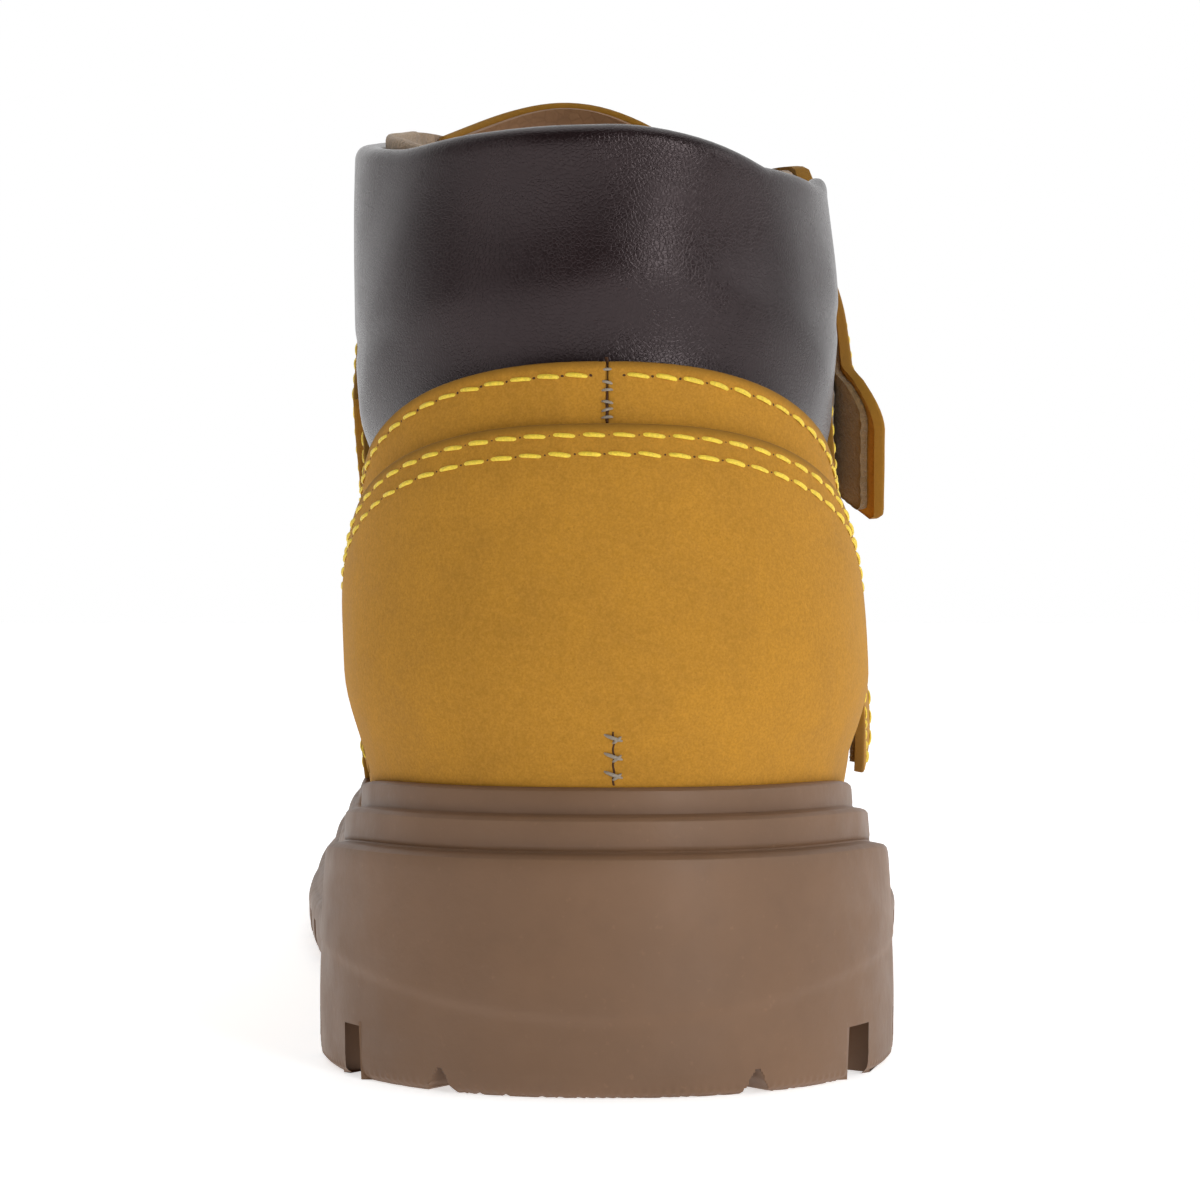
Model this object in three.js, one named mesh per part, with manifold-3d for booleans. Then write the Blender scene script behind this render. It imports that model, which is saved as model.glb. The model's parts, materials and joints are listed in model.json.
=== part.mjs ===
// Steel toe work boot, right foot, EU 42: a strap boot with a nubuck upper, a padded leather collar
// and a cupped, lugged rubber sole. Millimetres, +Z up, the toe points to +Y and -X is the inner
// (medial) side. While it is built, y is 0 at the back of the foot and z is 0 on the ground; the last
// lines move the origin to the middle of the footprint.
//
// Every part of the upper is cut from layers around one boot form. A layer is the space between two
// offsets of that form, and a panel is the part of a layer inside an outline drawn in side view.

import * as THREE from 'three';
import { mergeVertices } from 'three/addons/utils/BufferGeometryUtils.js';
import Module from 'manifold-3d';

const wasm = await Module();
wasm.setup();

const MEDIAL = -1;
const LATERAL = 1;
const GAP = 0.3;

// ---- Boot form -------------------------------------------------------------------------------

const TOE_START_Y = 232;
const TOE_LENGTH = 64;
const FEATHER_Z = 24;
const TOE_HEIGHT = 46;
const FORM_BOTTOM_Z = 8;
const FAN = { y: TOE_START_Y, z: 178 };
const FAN_END = THREE.MathUtils.degToRad(84);
const HALF_COLUMNS = 9;
const FACET_TOLERANCE = 0.15;

// The top line of the foot and the front of the shaft, as [y, z].
const RIDGE = [
  [232, 70],
  [212, 72.5],
  [192, 80],
  [172, 91],
  [153, 104.5],
  [137, 119.5],
  [125.5, 136],
  [118, 153],
  [114.5, 165],
];

// How far the form reaches from the heel's axis to each side, by y.
const REACH = {
  [MEDIAL]: through([
    [0, 34.6], [40, 34.6], [80, 35], [115, 37.5], [150, 42.5],
    [185, 46.5], [210, 48], [232, 48.5], [264, 51], [296, 55],
  ]),
  [LATERAL]: through([
    [0, 34.6], [40, 34.8], [80, 36.8], [115, 39.5], [150, 43.5],
    [180, 46.8], [205, 47], [232, 45.5], [264, 40], [296, 32],
  ]),
};
const ANKLE_REACH = { [MEDIAL]: 34.5, [LATERAL]: 33.4 };
const ridgeX = through([[0, 0], [50, 0], [120, -4.5], [180, -5], [232, -6], [296, -12]]);
const ridgeRadius = through(
  RIDGE.map(([y, z]) => [Math.atan2(FAN.y - y, FAN.z - z), Math.hypot(FAN.y - y, FAN.z - z)]),
);
const ridgeRound = through([[0, TOE_HEIGHT], [0.5, 52], [0.9, 56], [1.2, 58], [1.47, 58]]);
const heelLine = through([
  [8, 4.6], [37, 4.2], [57, 2.6], [75, 4.2], [95, 8], [110, 9], [125, 7], [140, 5], [160, 3],
]);
const heelRound = through([[40, 37], [130, 46]]);
const squareness = through([[140, 2.15], [232, 2.6]]);
const tuck = through([[60, 0.12], [150, 0.06], [230, 0.03]]);

// The top edge of the sole's wall, and the ledge inside it that the upper stands on.
const wallTop = through([
  [0, 39], [25, 38.5], [60, 35], [95, 30.5], [130, 26.5],
  [165, 24.3], [200, 23.8], [235, 25], [265, 28], [296, 31.5],
]);
const LEDGE_DEPTH = 8.5;
const ledge = (y) => wallTop(y) - LEDGE_DEPTH;
const UPPER_BOTTOM = (y) => ledge(y) + GAP;

// A smooth function of one variable through [x, value] points, level beyond its ends.
function through(points) {
  const last = points.length - 1;
  const slopes = points.map((_, i) => {
    const [x0, v0] = points[Math.max(i - 1, 0)];
    const [x1, v1] = points[Math.min(i + 1, last)];
    return (v1 - v0) / (x1 - x0);
  });
  return (x) => {
    if (x <= points[0][0]) return points[0][1];
    if (x >= points[last][0]) return points[last][1];
    const i = points.findIndex(([next]) => next > x) - 1;
    const [x0, v0] = points[i];
    const [x1, v1] = points[i + 1];
    const span = x1 - x0;
    const t = (x - x0) / span;
    const swing = slopes[i] * span * t * (1 - t) ** 2 - slopes[i + 1] * span * t * t * (1 - t);
    return v0 + (v1 - v0) * t * t * (3 - 2 * t) + swing;
  };
}

const smooth = (from, to, x) => THREE.MathUtils.smoothstep(x, from, to);
const lerp = THREE.MathUtils.lerp;

// Half the form's width on one side of its ridge line, where nothing rounds it off.
function halfWidth(y, z, side) {
  const ankle = smooth(45, 100, z) * (1 - smooth(170, 220, y));
  const reach = lerp(REACH[side](y), ANKLE_REACH[side], ankle);
  const tucked = 1 - tuck(y) * (1 - smooth(wallTop(y) - 2, wallTop(y) + 16, z));
  return reach * tucked - side * ridgeX(y);
}

// How far a point in side view is rounded off: 0 where the form has its full width, 1 at its outline.
function rounding(y, z) {
  const n = squareness(y);
  const toe = Math.max(0, (y - TOE_START_Y) / TOE_LENGTH);
  const heel = THREE.MathUtils.clamp(1 - (y - heelLine(z)) / heelRound(z), 0, 1.5);
  let top = (z - FEATHER_Z) / TOE_HEIGHT;
  if (y < FAN.y) {
    const angle = Math.atan2(FAN.y - y, FAN.z - z);
    const depth = Math.hypot(FAN.y - y, FAN.z - z) - ridgeRadius(angle);
    top = 1 - depth / ridgeRound(angle);
  }
  return Math.max(0, top) ** n + toe ** n + heel ** n;
}

function formLevel(p) {
  const side = p.x < ridgeX(p.y) ? MEDIAL : LATERAL;
  const across = Math.abs(p.x - ridgeX(p.y)) / halfWidth(p.y, p.z, side);
  return across ** squareness(p.y) + rounding(p.y, p.z);
}

// The point of the form at y, z on one side.
function formPoint(y, z, side) {
  const n = squareness(y);
  const x = halfWidth(y, z, side) * Math.max(0, 1 - rounding(y, z)) ** (1 / n);
  return new THREE.Vector3(ridgeX(y) + side * x, y, z);
}

function formNormal(p) {
  const step = 0.05;
  const slope = (axis) => {
    const ahead = p.clone();
    const behind = p.clone();
    ahead[axis] += step;
    behind[axis] -= step;
    return formLevel(ahead) - formLevel(behind);
  };
  return new THREE.Vector3(slope('x'), slope('y'), slope('z')).normalize();
}

// One half of a cross-section: evenly spaced points from the ridge, at from, to the bottom or the
// heel, at to.
function halfSection(from, to, side) {
  const fine = [];
  const samples = 120;
  for (let i = 0; i <= samples; i++) {
    const q = (1 - Math.cos((Math.PI * i) / samples)) / 2;
    fine.push(formPoint(lerp(from[0], to[0], q), lerp(from[1], to[1], q), side));
  }
  fine[0].x = ridgeX(from[0]);
  const along = [0];
  for (let i = 1; i <= samples; i++) along.push(along[i - 1] + fine[i].distanceTo(fine[i - 1]));
  const points = [];
  for (let j = 0; j <= HALF_COLUMNS; j++) {
    const target = (along[samples] * j) / HALF_COLUMNS;
    const i = Math.min(samples - 1, Math.max(0, along.findIndex((s) => s > target) - 1));
    const t = j === HALF_COLUMNS ? 1 : (target - along[i]) / (along[i + 1] - along[i]);
    points.push(j === HALF_COLUMNS ? fine[samples] : fine[i].clone().lerp(fine[i + 1], t));
  }
  return points;
}

// The ends, in side view, of each cross-section: upright ones at the toe, then a fan of them to the
// shaft's top.
function sectionEnds() {
  const ends = [];
  const n = squareness(TOE_START_Y);
  for (const degrees of [86, 75, 62, 48, 33, 17]) {
    const turn = THREE.MathUtils.degToRad(degrees);
    const y = TOE_START_Y + TOE_LENGTH * Math.sin(turn) ** (2 / n);
    ends.push([[y, FEATHER_Z + TOE_HEIGHT * Math.cos(turn) ** (2 / n)], [y, FORM_BOTTOM_Z]]);
  }
  const angles = [];
  for (let i = 0; i < 9; i++) angles.push((i / 9) * 0.9);
  for (let i = 0; i <= 9; i++) angles.push(lerp(0.9, FAN_END, i / 9));
  for (const angle of angles) {
    const at = (r) => [FAN.y - r * Math.sin(angle), FAN.z - r * Math.cos(angle)];
    let near = ridgeRadius(angle);
    let far = 400;
    const start = near;
    for (let i = 0; i < 40; i++) {
      const middle = (near + far) / 2;
      const [y, z] = at(middle);
      if (z > FORM_BOTTOM_Z && y > heelLine(z)) near = middle;
      else far = middle;
    }
    ends.push([at(start), at(near)]);
  }
  return ends;
}

const SECTIONS = sectionEnds().map(([from, to]) => ({
  lateral: halfSection(from, to, LATERAL),
  medial: halfSection(from, to, MEDIAL),
}));

// ---- Solids and booleans ---------------------------------------------------------------------

function solidFromGeometry(geometry) {
  const bare = geometry.clone();
  bare.deleteAttribute('normal');
  bare.deleteAttribute('uv');
  const merged = mergeVertices(bare, 1e-4);
  const index = merged.index.array;
  const kept = [];
  for (let i = 0; i < index.length; i += 3) {
    const [a, b, c] = [index[i], index[i + 1], index[i + 2]];
    if (a !== b && b !== c && c !== a) kept.push(a, b, c);
  }
  const vertProperties = new Float32Array(merged.attributes.position.array);
  return new wasm.Manifold(new wasm.Mesh({ numProp: 3, vertProperties, triVerts: new Uint32Array(kept) }));
}

// A solid through rings of points, closed at both ends.
function solidFromRings(rings) {
  const points = rings.flat();
  const size = rings[0].length;
  const index = [];
  for (let r = 0; r + 1 < rings.length; r++) {
    for (let i = 0; i < size; i++) {
      const [a, b] = [r * size + i, r * size + ((i + 1) % size)];
      index.push(a, b + size, b, a, a + size, b + size);
    }
  }
  for (const ring of [0, rings.length - 1]) {
    const middle = new THREE.Vector3();
    rings[ring].forEach((p) => middle.addScaledVector(p, 1 / size));
    points.push(middle);
    for (let i = 0; i < size; i++) {
      const [a, b] = [ring * size + i, ring * size + ((i + 1) % size)];
      index.push(points.length - 1, ...(ring === 0 ? [a, b] : [b, a]));
    }
  }
  return solidFromGeometry(new THREE.BufferGeometry().setFromPoints(points).setIndex(index));
}

// The form, grown by offset millimetres. The offset may be a function of the point.
const formCache = new Map();
function form(offset) {
  if (formCache.has(offset)) return formCache.get(offset);
  const shift = (p) => (typeof offset === 'function' ? offset(p) : offset);
  const move = (p) => p.clone().addScaledVector(formNormal(p), shift(p));
  const rings = SECTIONS.map(({ lateral, medial }) => [
    ...lateral.map(move),
    ...medial.slice(1).reverse().map(move),
  ]);
  const made = solidFromRings(rings);
  formCache.set(offset, made);
  return made;
}

const layer = (inner, outer) => form(outer).subtract(form(inner));

// A side-view outline of [y, z] points, as a solid from x0 to x1.
function prism(outline, x0 = -90, x1 = 90) {
  const shape = new THREE.Shape(outline.map(([y, z]) => new THREE.Vector2(y, z)));
  const geometry = new THREE.ExtrudeGeometry(shape, { depth: x1 - x0, bevelEnabled: false });
  const turned = new THREE.Matrix4().makeBasis(
    new THREE.Vector3(0, 1, 0),
    new THREE.Vector3(0, 0, 1),
    new THREE.Vector3(1, 0, 0),
  );
  geometry.applyMatrix4(turned).translate(x0, 0, 0);
  return solidFromGeometry(geometry);
}

// A plan outline of [x, y] points, as a solid from z0 to z1.
function column(outline, z0, z1) {
  const shape = new THREE.Shape(outline.map(([x, y]) => new THREE.Vector2(x, y)));
  const geometry = new THREE.ExtrudeGeometry(shape, { depth: z1 - z0, bevelEnabled: false });
  return solidFromGeometry(geometry.translate(0, 0, z0));
}

// The space between two heights that vary with y.
function slab(lower, upper, y0 = -20, y1 = 320, steps = 30) {
  const ys = Array.from({ length: steps + 1 }, (_, i) => lerp(y0, y1, i / steps));
  return prism([...ys.map((y) => [y, lower(y)]), ...ys.reverse().map((y) => [y, upper(y)])]);
}

// A smooth line through [y, z] points.
const curve = (points, steps = 12) =>
  new THREE.SplineCurve(points.map(([y, z]) => new THREE.Vector2(y, z)))
    .getPoints(steps)
    .map((p) => [p.x, p.y]);

// Only the biggest body of a cut, so that no sliver stays beside it.
const biggest = (solid) => solid.decompose().sort((a, b) => b.volume() - a.volume())[0];

// ---- Materials and nodes ---------------------------------------------------------------------

const paint = (color, roughness, metalness = 0) =>
  new THREE.MeshStandardMaterial({ color, roughness, metalness });
const materials = {
  nubuck: paint('#b28232', 0.9),
  collarLeather: paint('#453a3c', 0.42),
  lining: paint('#99866c', 0.95),
  tongueLeather: paint('#8f6c50', 0.7),
  foam: paint('#d9cfae', 0.95),
  rubber: paint('#86684f', 0.7),
  midsole: paint('#6f6a62', 0.85),
  board: paint('#b59a6a', 0.85),
  steel: paint('#8e9196', 0.35, 1),
  stiffener: paint('#cfc8b8', 0.6),
  edgeStrip: paint('#26262a', 0.8),
  footbed: paint('#3c3d40', 0.95),
  tape: paint('#715636', 1),
};

function node(name, solid, material) {
  const mesh = solid.simplify(FACET_TOLERANCE).getMesh();
  const geometry = new THREE.BufferGeometry();
  const positions = new Float32Array(mesh.numVert * 3);
  for (let i = 0; i < mesh.numVert; i++) {
    positions.set(mesh.vertProperties.subarray(i * mesh.numProp, i * mesh.numProp + 3), i * 3);
  }
  geometry.setAttribute('position', new THREE.BufferAttribute(positions, 3));
  geometry.setIndex(new THREE.BufferAttribute(new Uint32Array(mesh.triVerts), 1));
  geometry.computeVertexNormals();
  const made = new THREE.Mesh(geometry, material);
  made.name = name;
  return made;
}

const group = (...meshes) => new THREE.Group().add(...meshes);

// ---- Upper: where its panels meet, in side view ----------------------------------------------

const SKIN = { outer: 0, inner: -2 };
const OVERLAY = { outer: 2.1, inner: GAP };
const STIFFENER = { outer: -2.3, inner: -4.1 };
const HEEL_LINING = { outer: -4.4, inner: -5.6 };
const FRONT_LINING = { outer: -2.3, inner: -3.5 };
const TOE_CAP = { outer: -2.5, inner: -4.4 };
const TOE_LINING = { outer: -4.8, inner: -5.9 };
const COLLAR = { cover: [-0.9, 0.7], foam: [-4.2, -1.2], lining: [-5.6, -4.5] };
const TONGUE = { face: [-5.4, -3.9], foam: [-8.4, -5.7], lining: [-9.8, -8.7] };

const FACING_DEPTH = 9;
const TONGUE_TUCK = 9;
const THROAT_ANGLE = 0.385;
const FACING_END_ANGLE = 1.268;
const COLLAR_SEAM = [[-15, 95.2], [3, 95], [14, 91.8], [26, 86], [38, 79.8], [49, 77]];
const COLLAR_FRONT = [[49, 77], [62, 85.5], [73, 101], [80, 116], [85, 133]];
const VAMP_EDGE = [[201, 92], [190, 68], [174, 52], [154, 39], [136, 29], [122, 12]];
const COLLAR_TOP_MEDIAL = [[85, 133.6], [70, 130], [48, 127], [24, 124.8], [3, 124], [-15, 124]];
const COLLAR_TOP_LATERAL = [[85, 129.4], [70, 126.5], [48, 124.5], [24, 123.8], [3, 124], [-15, 124]];
const HEEL_PANEL_EDGE = [
  [-15, 86.3], [3, 86], [13, 83.6], [26, 77.8], [40, 69.5], [56, 59.5], [74, 49.5], [92, 40], [108, 29],
];
const STIFFENER_EDGE = [[-15, 76], [3, 76], [30, 66], [60, 50], [92, 24]];
const HEEL_LINING_EDGE = [[-15, 90], [3, 90], [26, 82], [60, 64], [88, 42], [104, 16]];

// A point at a depth below the ridge, at an angle of the fan.
const belowRidge = (angle, depth) => {
  const r = ridgeRadius(angle) + depth;
  return [FAN.y - r * Math.sin(angle), FAN.z - r * Math.cos(angle)];
};
const alongRidge = (from, to, depth, steps = 10) =>
  Array.from({ length: steps + 1 }, (_, i) => belowRidge(lerp(from, to, i / steps), depth));
const shifted = (line, dy, dz) => line.map(([y, z]) => [y + dy, z + dz]);
const floor = -20;

// What lies below a line that runs from the back of the heel to the front.
const below = (line, x0, x1) => {
  const edge = curve(line, 16);
  return prism([[edge[0][0], floor], ...edge, [edge.at(-1)[0], floor]].reverse(), x0, x1);
};

const aboveLedge = slab(UPPER_BOTTOM, () => 200);
const aboveWall = slab((y) => wallTop(y) + GAP, () => 200);

// All that lies ahead of a line that runs from the top down.
const aheadOf = (line) => {
  const edge = curve(line, 12);
  return prism([...edge, [320, edge.at(-1)[1]], [320, edge[0][1]]]);
};

const vampSeam = curve(VAMP_EDGE).filter(([, z]) => z < 68);

function quarterRegion(side) {
  const top = side === MEDIAL ? 137.5 : 133.5;
  const facing = alongRidge(THROAT_ANGLE, FACING_END_ANGLE, FACING_DEPTH).filter(([, z]) => z < top);
  const seam = curve(COLLAR_SEAM, 10);
  const front = curve(COLLAR_FRONT, 8).filter(([, z]) => z < top - 3);
  const outline = [
    [-15, floor],
    [vampSeam.at(-1)[0] - GAP, floor],
    ...shifted([...vampSeam].reverse(), -GAP, 0),
    ...facing,
    [front.at(-1)[0] + 2.5, top - 3.5],
    ...[...front].reverse(),
    ...[...seam].reverse(),
  ];
  const [x0, x1] = side === MEDIAL ? [-90, -GAP / 2] : [GAP / 2, 90];
  return prism(outline, x0, x1);
}

function collarRegion(grow = 0) {
  const half = (top, x0, x1) => {
    const seam = shifted(curve(COLLAR_SEAM, 10), 0, GAP - grow);
    const front = shifted(curve(COLLAR_FRONT, 8), grow - GAP, 0).filter(([, z]) => z < top[0][1] - 1);
    return prism([...seam, ...front, ...curve(top, 10)], x0, x1);
  };
  return half(COLLAR_TOP_MEDIAL, -90, 0).add(half(COLLAR_TOP_LATERAL, 0, 90));
}

// ---- Upper: outer leather --------------------------------------------------------------------

const skin = layer(SKIN.inner, SKIN.outer).intersect(aboveLedge);
const overlay = layer(OVERLAY.inner, OVERLAY.outer).intersect(aboveWall);

const TOE_COVER_EDGE = [[222, 90], [226, 66], [233, 48], [244, 34], [250, 20]];

function outerLeather() {
  const vamp = biggest(skin.intersect(aheadOf(VAMP_EDGE)));
  return group(
    node('vamp', vamp, materials.nubuck),
    node('toe_cap_cover', biggest(overlay.intersect(aheadOf(TOE_COVER_EDGE))), materials.nubuck),
    node('quarter_medial', biggest(skin.intersect(quarterRegion(MEDIAL))), materials.nubuck),
    node('quarter_lateral', biggest(skin.intersect(quarterRegion(LATERAL))), materials.nubuck),
    node('heel_panel', biggest(overlay.intersect(below(HEEL_PANEL_EDGE))), materials.nubuck),
  );
}

// ---- Upper: linings, stiffener and steel toe -------------------------------------------------

const TOE_CAP_EDGE = [[236, 90], [238, 60], [243, 40], [246, 10]];
const TOE_CAP_FLANGE = { reach: 3.6, lower: 0.6, upper: 2.4 };
const EDGE_STRIP_WIDTH = 6;

function toeProtection() {
  const shell = layer(TOE_CAP.inner, TOE_CAP.outer).intersect(aboveLedge);
  const flange = layer(TOE_CAP.inner - TOE_CAP_FLANGE.reach, TOE_CAP.outer).intersect(
    slab((y) => ledge(y) + TOE_CAP_FLANGE.lower, (y) => ledge(y) + TOE_CAP_FLANGE.upper),
  );
  const cap = shell.add(flange).intersect(aheadOf(TOE_CAP_EDGE));
  const ahead = aheadOf(shifted(TOE_CAP_EDGE, -EDGE_STRIP_WIDTH - GAP, 0));
  const strip = shell.intersect(ahead).subtract(aheadOf(shifted(TOE_CAP_EDGE, -GAP, 0)));
  return group(
    node('steel_toe_cap', biggest(cap), materials.steel),
    node('toe_cap_edge_strip', biggest(strip), materials.edgeStrip),
  );
}

function linings() {
  const heelZone = below(HEEL_LINING_EDGE);
  const aroundHeelZone = below(shifted(HEEL_LINING_EDGE, GAP, GAP));
  const front = layer(FRONT_LINING.inner, FRONT_LINING.outer).intersect(aboveLedge);
  const side = (which) => biggest(front.intersect(quarterRegion(which)).subtract(aroundHeelZone));
  const aboveFlange = slab((y) => ledge(y) + TOE_CAP_FLANGE.upper + GAP, () => 200);
  const toe = layer(TOE_LINING.inner, TOE_LINING.outer).intersect(aboveFlange);
  const forefoot = toe.intersect(aheadOf(shifted(VAMP_EDGE, TONGUE_TUCK, 0)));
  return group(
    node('vamp_lining', biggest(forefoot), materials.lining),
    node('quarter_lining_medial', side(MEDIAL), materials.lining),
    node('quarter_lining_lateral', side(LATERAL), materials.lining),
    node(
      'heel_stiffener',
      biggest(layer(STIFFENER.inner, STIFFENER.outer).intersect(aboveLedge).intersect(below(STIFFENER_EDGE))),
      materials.stiffener,
    ),
    node(
      'heel_lining',
      biggest(layer(HEEL_LINING.inner, HEEL_LINING.outer).intersect(aboveLedge).intersect(heelZone)),
      materials.lining,
    ),
  );
}

// ---- Collar and tongue -----------------------------------------------------------------------

function collar() {
  const region = collarRegion();
  const part = ([inner, outer]) => biggest(layer(inner, outer).intersect(region));
  return group(
    node('collar_cover', part(COLLAR.cover), materials.collarLeather),
    node('collar_foam', part(COLLAR.foam), materials.foam),
    node('collar_lining', part(COLLAR.lining), materials.collarLeather),
  );
}

const TONGUE_BASE_ANGLE = 0.39;
const TONGUE_DEPTH = 26;
const TONGUE_TOP_Z = 146;
// The rounded top of the tongue, seen from behind: its peak and how fast it falls to both sides.
const TONGUE_CROWN = { x: -6.6, z: 144.2, fall: 0.0185 };

function tongue() {
  const front = alongRidge(TONGUE_BASE_ANGLE, 1.36, -6);
  const back = alongRidge(TONGUE_BASE_ANGLE, 1.22, TONGUE_DEPTH).reverse();
  const top = curve([[118, TONGUE_TOP_Z], [108, TONGUE_TOP_Z - 3], [99, TONGUE_TOP_Z - 10], back[0]], 6);
  const sideView = prism([...front.filter(([, z]) => z < TONGUE_TOP_Z), ...top, ...back.slice(1)]);
  const crown = [-42, -32, -24, -17, -11, -6.6, -2, 4, 11, 19, 28, 42].map(
    (x) => new THREE.Vector2(x, TONGUE_CROWN.z - TONGUE_CROWN.fall * (x - TONGUE_CROWN.x) ** 2),
  );
  const shape = new THREE.Shape([new THREE.Vector2(-42, 0), new THREE.Vector2(42, 0), ...crown.reverse()]);
  const below = new THREE.ExtrudeGeometry(shape, { depth: 160, bevelEnabled: false });
  const region = sideView.intersect(solidFromGeometry(below.rotateX(Math.PI / 2).translate(0, 220, 0)));
  const part = ([inner, outer]) => biggest(layer(inner, outer).intersect(region));
  return group(
    node('tongue_face', part(TONGUE.face), materials.nubuck),
    node('tongue_foam', part(TONGUE.foam), materials.foam),
    node('tongue_lining', part(TONGUE.lining), materials.tongueLeather),
  );
}

// ---- Straps ----------------------------------------------------------------------------------

const STRAP_WIDTH = 25;
const STRAP_THICKNESS = 2;
const STRAP_BEYOND_RIDGE = 16;
const SEWN_LENGTH = 17;
const TIP_RADIUS = 8;
const TAPE_WIDTH = 19;
const LOOP = { inner: 0.3, outer: 1.1, start: 4, length: 40 };
const HOOK = { inner: 1.55, outer: 2.35, start: 3, length: 36 };
const STRAP_LIFT = { medial: 0.35, lateral: 2.65 };
const FLARE_LENGTH = 18;

// Each strap crosses the ridge at one point and ends at another on both sides, in side view.
const STRAPS = {
  upper: { ridge: [130, 130], end: [80, 86], flare: 3.4 },
  middle: { ridge: [153.5, 109], end: [114, 60.5], flare: 0.5 },
  lower: { ridge: [180, 92], end: [151, 38], flare: 1.2 },
};

// A straight band in side view: from and to are distances along the strap from its end.
function bandOutline({ ridge, end }, width, from, to, radius = 0.5) {
  const along = new THREE.Vector2(ridge[0] - end[0], ridge[1] - end[1]).normalize();
  const across = new THREE.Vector2(-along.y, along.x);
  const shape = new THREE.Shape();
  shape.moveTo(to, -width / 2);
  shape.lineTo(to, width / 2);
  shape.lineTo(from + radius, width / 2);
  shape.absarc(from + radius, width / 2 - radius, radius, Math.PI / 2, Math.PI);
  shape.absarc(from + radius / 2, radius / 2 - width / 2, radius / 2, Math.PI, (3 * Math.PI) / 2);
  return shape.getPoints(4).map(({ x, y }) => [
    end[0] + along.x * x + across.x * y,
    end[1] + along.y * x + across.y * y,
  ]);
}

function strap(name) {
  const place = STRAPS[name];
  const along = new THREE.Vector2(place.ridge[0] - place.end[0], place.ridge[1] - place.end[1]);
  const length = along.length() + STRAP_BEYOND_RIDGE;
  along.normalize();
  const fromEnd = (p) => (p.y - place.end[0]) * along.x + (p.z - place.end[1]) * along.y;
  const lift = (p) => {
    const across = smooth(-22, 22, p.x);
    const flare = p.x > 0 ? place.flare * (1 - smooth(0, FLARE_LENGTH, fromEnd(p))) : 0;
    return lerp(STRAP_LIFT.medial, STRAP_LIFT.lateral, across) + flare;
  };
  const leather = form((p) => lift(p) + STRAP_THICKNESS)
    .subtract(form(lift))
    .intersect(prism(bandOutline(place, STRAP_WIDTH, 0, length, TIP_RADIUS)));
  const sewn = prism(bandOutline(place, STRAP_WIDTH + 4, -2, SEWN_LENGTH), -90, 0);
  const pastSewn = prism(bandOutline(place, STRAP_WIDTH + 4, -2, SEWN_LENGTH + GAP), -90, 0);
  const tape = ({ inner, outer, start, length: long }) => {
    const outline = bandOutline(place, TAPE_WIDTH, start, start + long, 2);
    return biggest(layer(inner, outer).intersect(prism(outline, 0, 90)));
  };
  return group(
    node(`strap_${name}`, biggest(leather.subtract(pastSewn)), materials.nubuck),
    node(`strap_${name}_sewn_end`, biggest(leather.intersect(sewn)), materials.nubuck),
    node(`strap_${name}_hook_tape`, tape(HOOK), materials.tape),
    node(`strap_${name}_loop_tape`, tape(LOOP), materials.tape),
  );
}

// ---- Sole ------------------------------------------------------------------------------------

const TOE_SPRING = through([[200, 0], [235, 1], [265, 3.4], [303, 8.5]]);
const LUG_HEIGHT = 6;
const WALL_THICKNESS = through([[60, 3.7], [150, 2.6], [230, 2.4]]);
const HEEL_BACK_Y = 0.8;
const SOLE_TOE_Y = 299;
const MIDSOLE_DEPTH = through([[70, 13], [125, 5]]);

// Rings of the sole's outer wall, from the ground up: the height, and how far it stands out beyond
// the top band, at the heel and at the ball of the foot.
// The wall stands out less on the lateral side of the forefoot.
const LATERAL_TRIM = 0.22;
const WALL_RINGS = [
  { z: () => 0, heel: 5.2, ball: 5 },
  { z: () => 1.6, heel: 6, ball: 7.4 },
  { z: () => 4.6, heel: 6, ball: 8.2 },
  { z: (top) => lerp(4.6, top, 0.36), heel: 5.9, ball: 7.4 },
  { z: (top) => lerp(4.6, top, 0.42), heel: 5.4, ball: 6.6 },
  { z: (top) => top - 9.4, heel: 5.1, ball: 4.8 },
  { z: (top) => top - 7.2, heel: 2.6, ball: 3.4 },
  { z: (top) => top - 3.8, heel: 2.3, ball: 2.2 },
  { z: (top) => top - 3.4, heel: 0.3, ball: 0.4 },
  { z: (top) => top - 0.7, heel: 0, ball: 0 },
  { z: (top) => top, heel: -0.9, ball: -0.8 },
];

// The plan outline of the sole's top band, as pairs of points, lateral then medial, from heel to toe.
function soleOutline() {
  const heel = [6, 20, 34, 48, 62, 76, 90].map((a) => {
    const turn = THREE.MathUtils.degToRad(a);
    const n = 2.2;
    return { y: HEEL_BACK_Y + 40 * (1 - Math.cos(turn) ** (2 / n)), share: Math.sin(turn) ** (2 / n) };
  });
  const middle = [58, 76, 94, 112, 130, 148, 166, 184, 202, 218].map((y) => ({ y, share: 1 }));
  const toe = [0, 12, 24, 36, 47, 57, 67, 77, 86].map((a) => {
    const turn = THREE.MathUtils.degToRad(a);
    const n = 2.5;
    return {
      y: TOE_START_Y + (SOLE_TOE_Y - TOE_START_Y) * Math.sin(turn) ** (2 / n),
      share: Math.cos(turn) ** (2 / n),
    };
  });
  return [...heel, ...middle, ...toe].map(({ y, share }) => {
    const reach = (side) => {
      const centre = side * ridgeX(y) * smooth(200, 290, y);
      return (REACH[side](y) * (1 - tuck(y)) + WALL_THICKNESS(y) - centre) * share + centre;
    };
    return { lateral: new THREE.Vector2(reach(LATERAL), y), medial: new THREE.Vector2(-reach(MEDIAL), y) };
  });
}

// The closed outline moved outwards by out(point) millimetres.
function grownLoop(loop, out) {
  return loop.map((p, i) => {
    const before = loop[(i + loop.length - 1) % loop.length];
    const after = loop[(i + 1) % loop.length];
    const along = after.clone().sub(before).normalize();
    return p.clone().add(new THREE.Vector2(along.y, -along.x).multiplyScalar(out(p)));
  });
}

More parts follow.
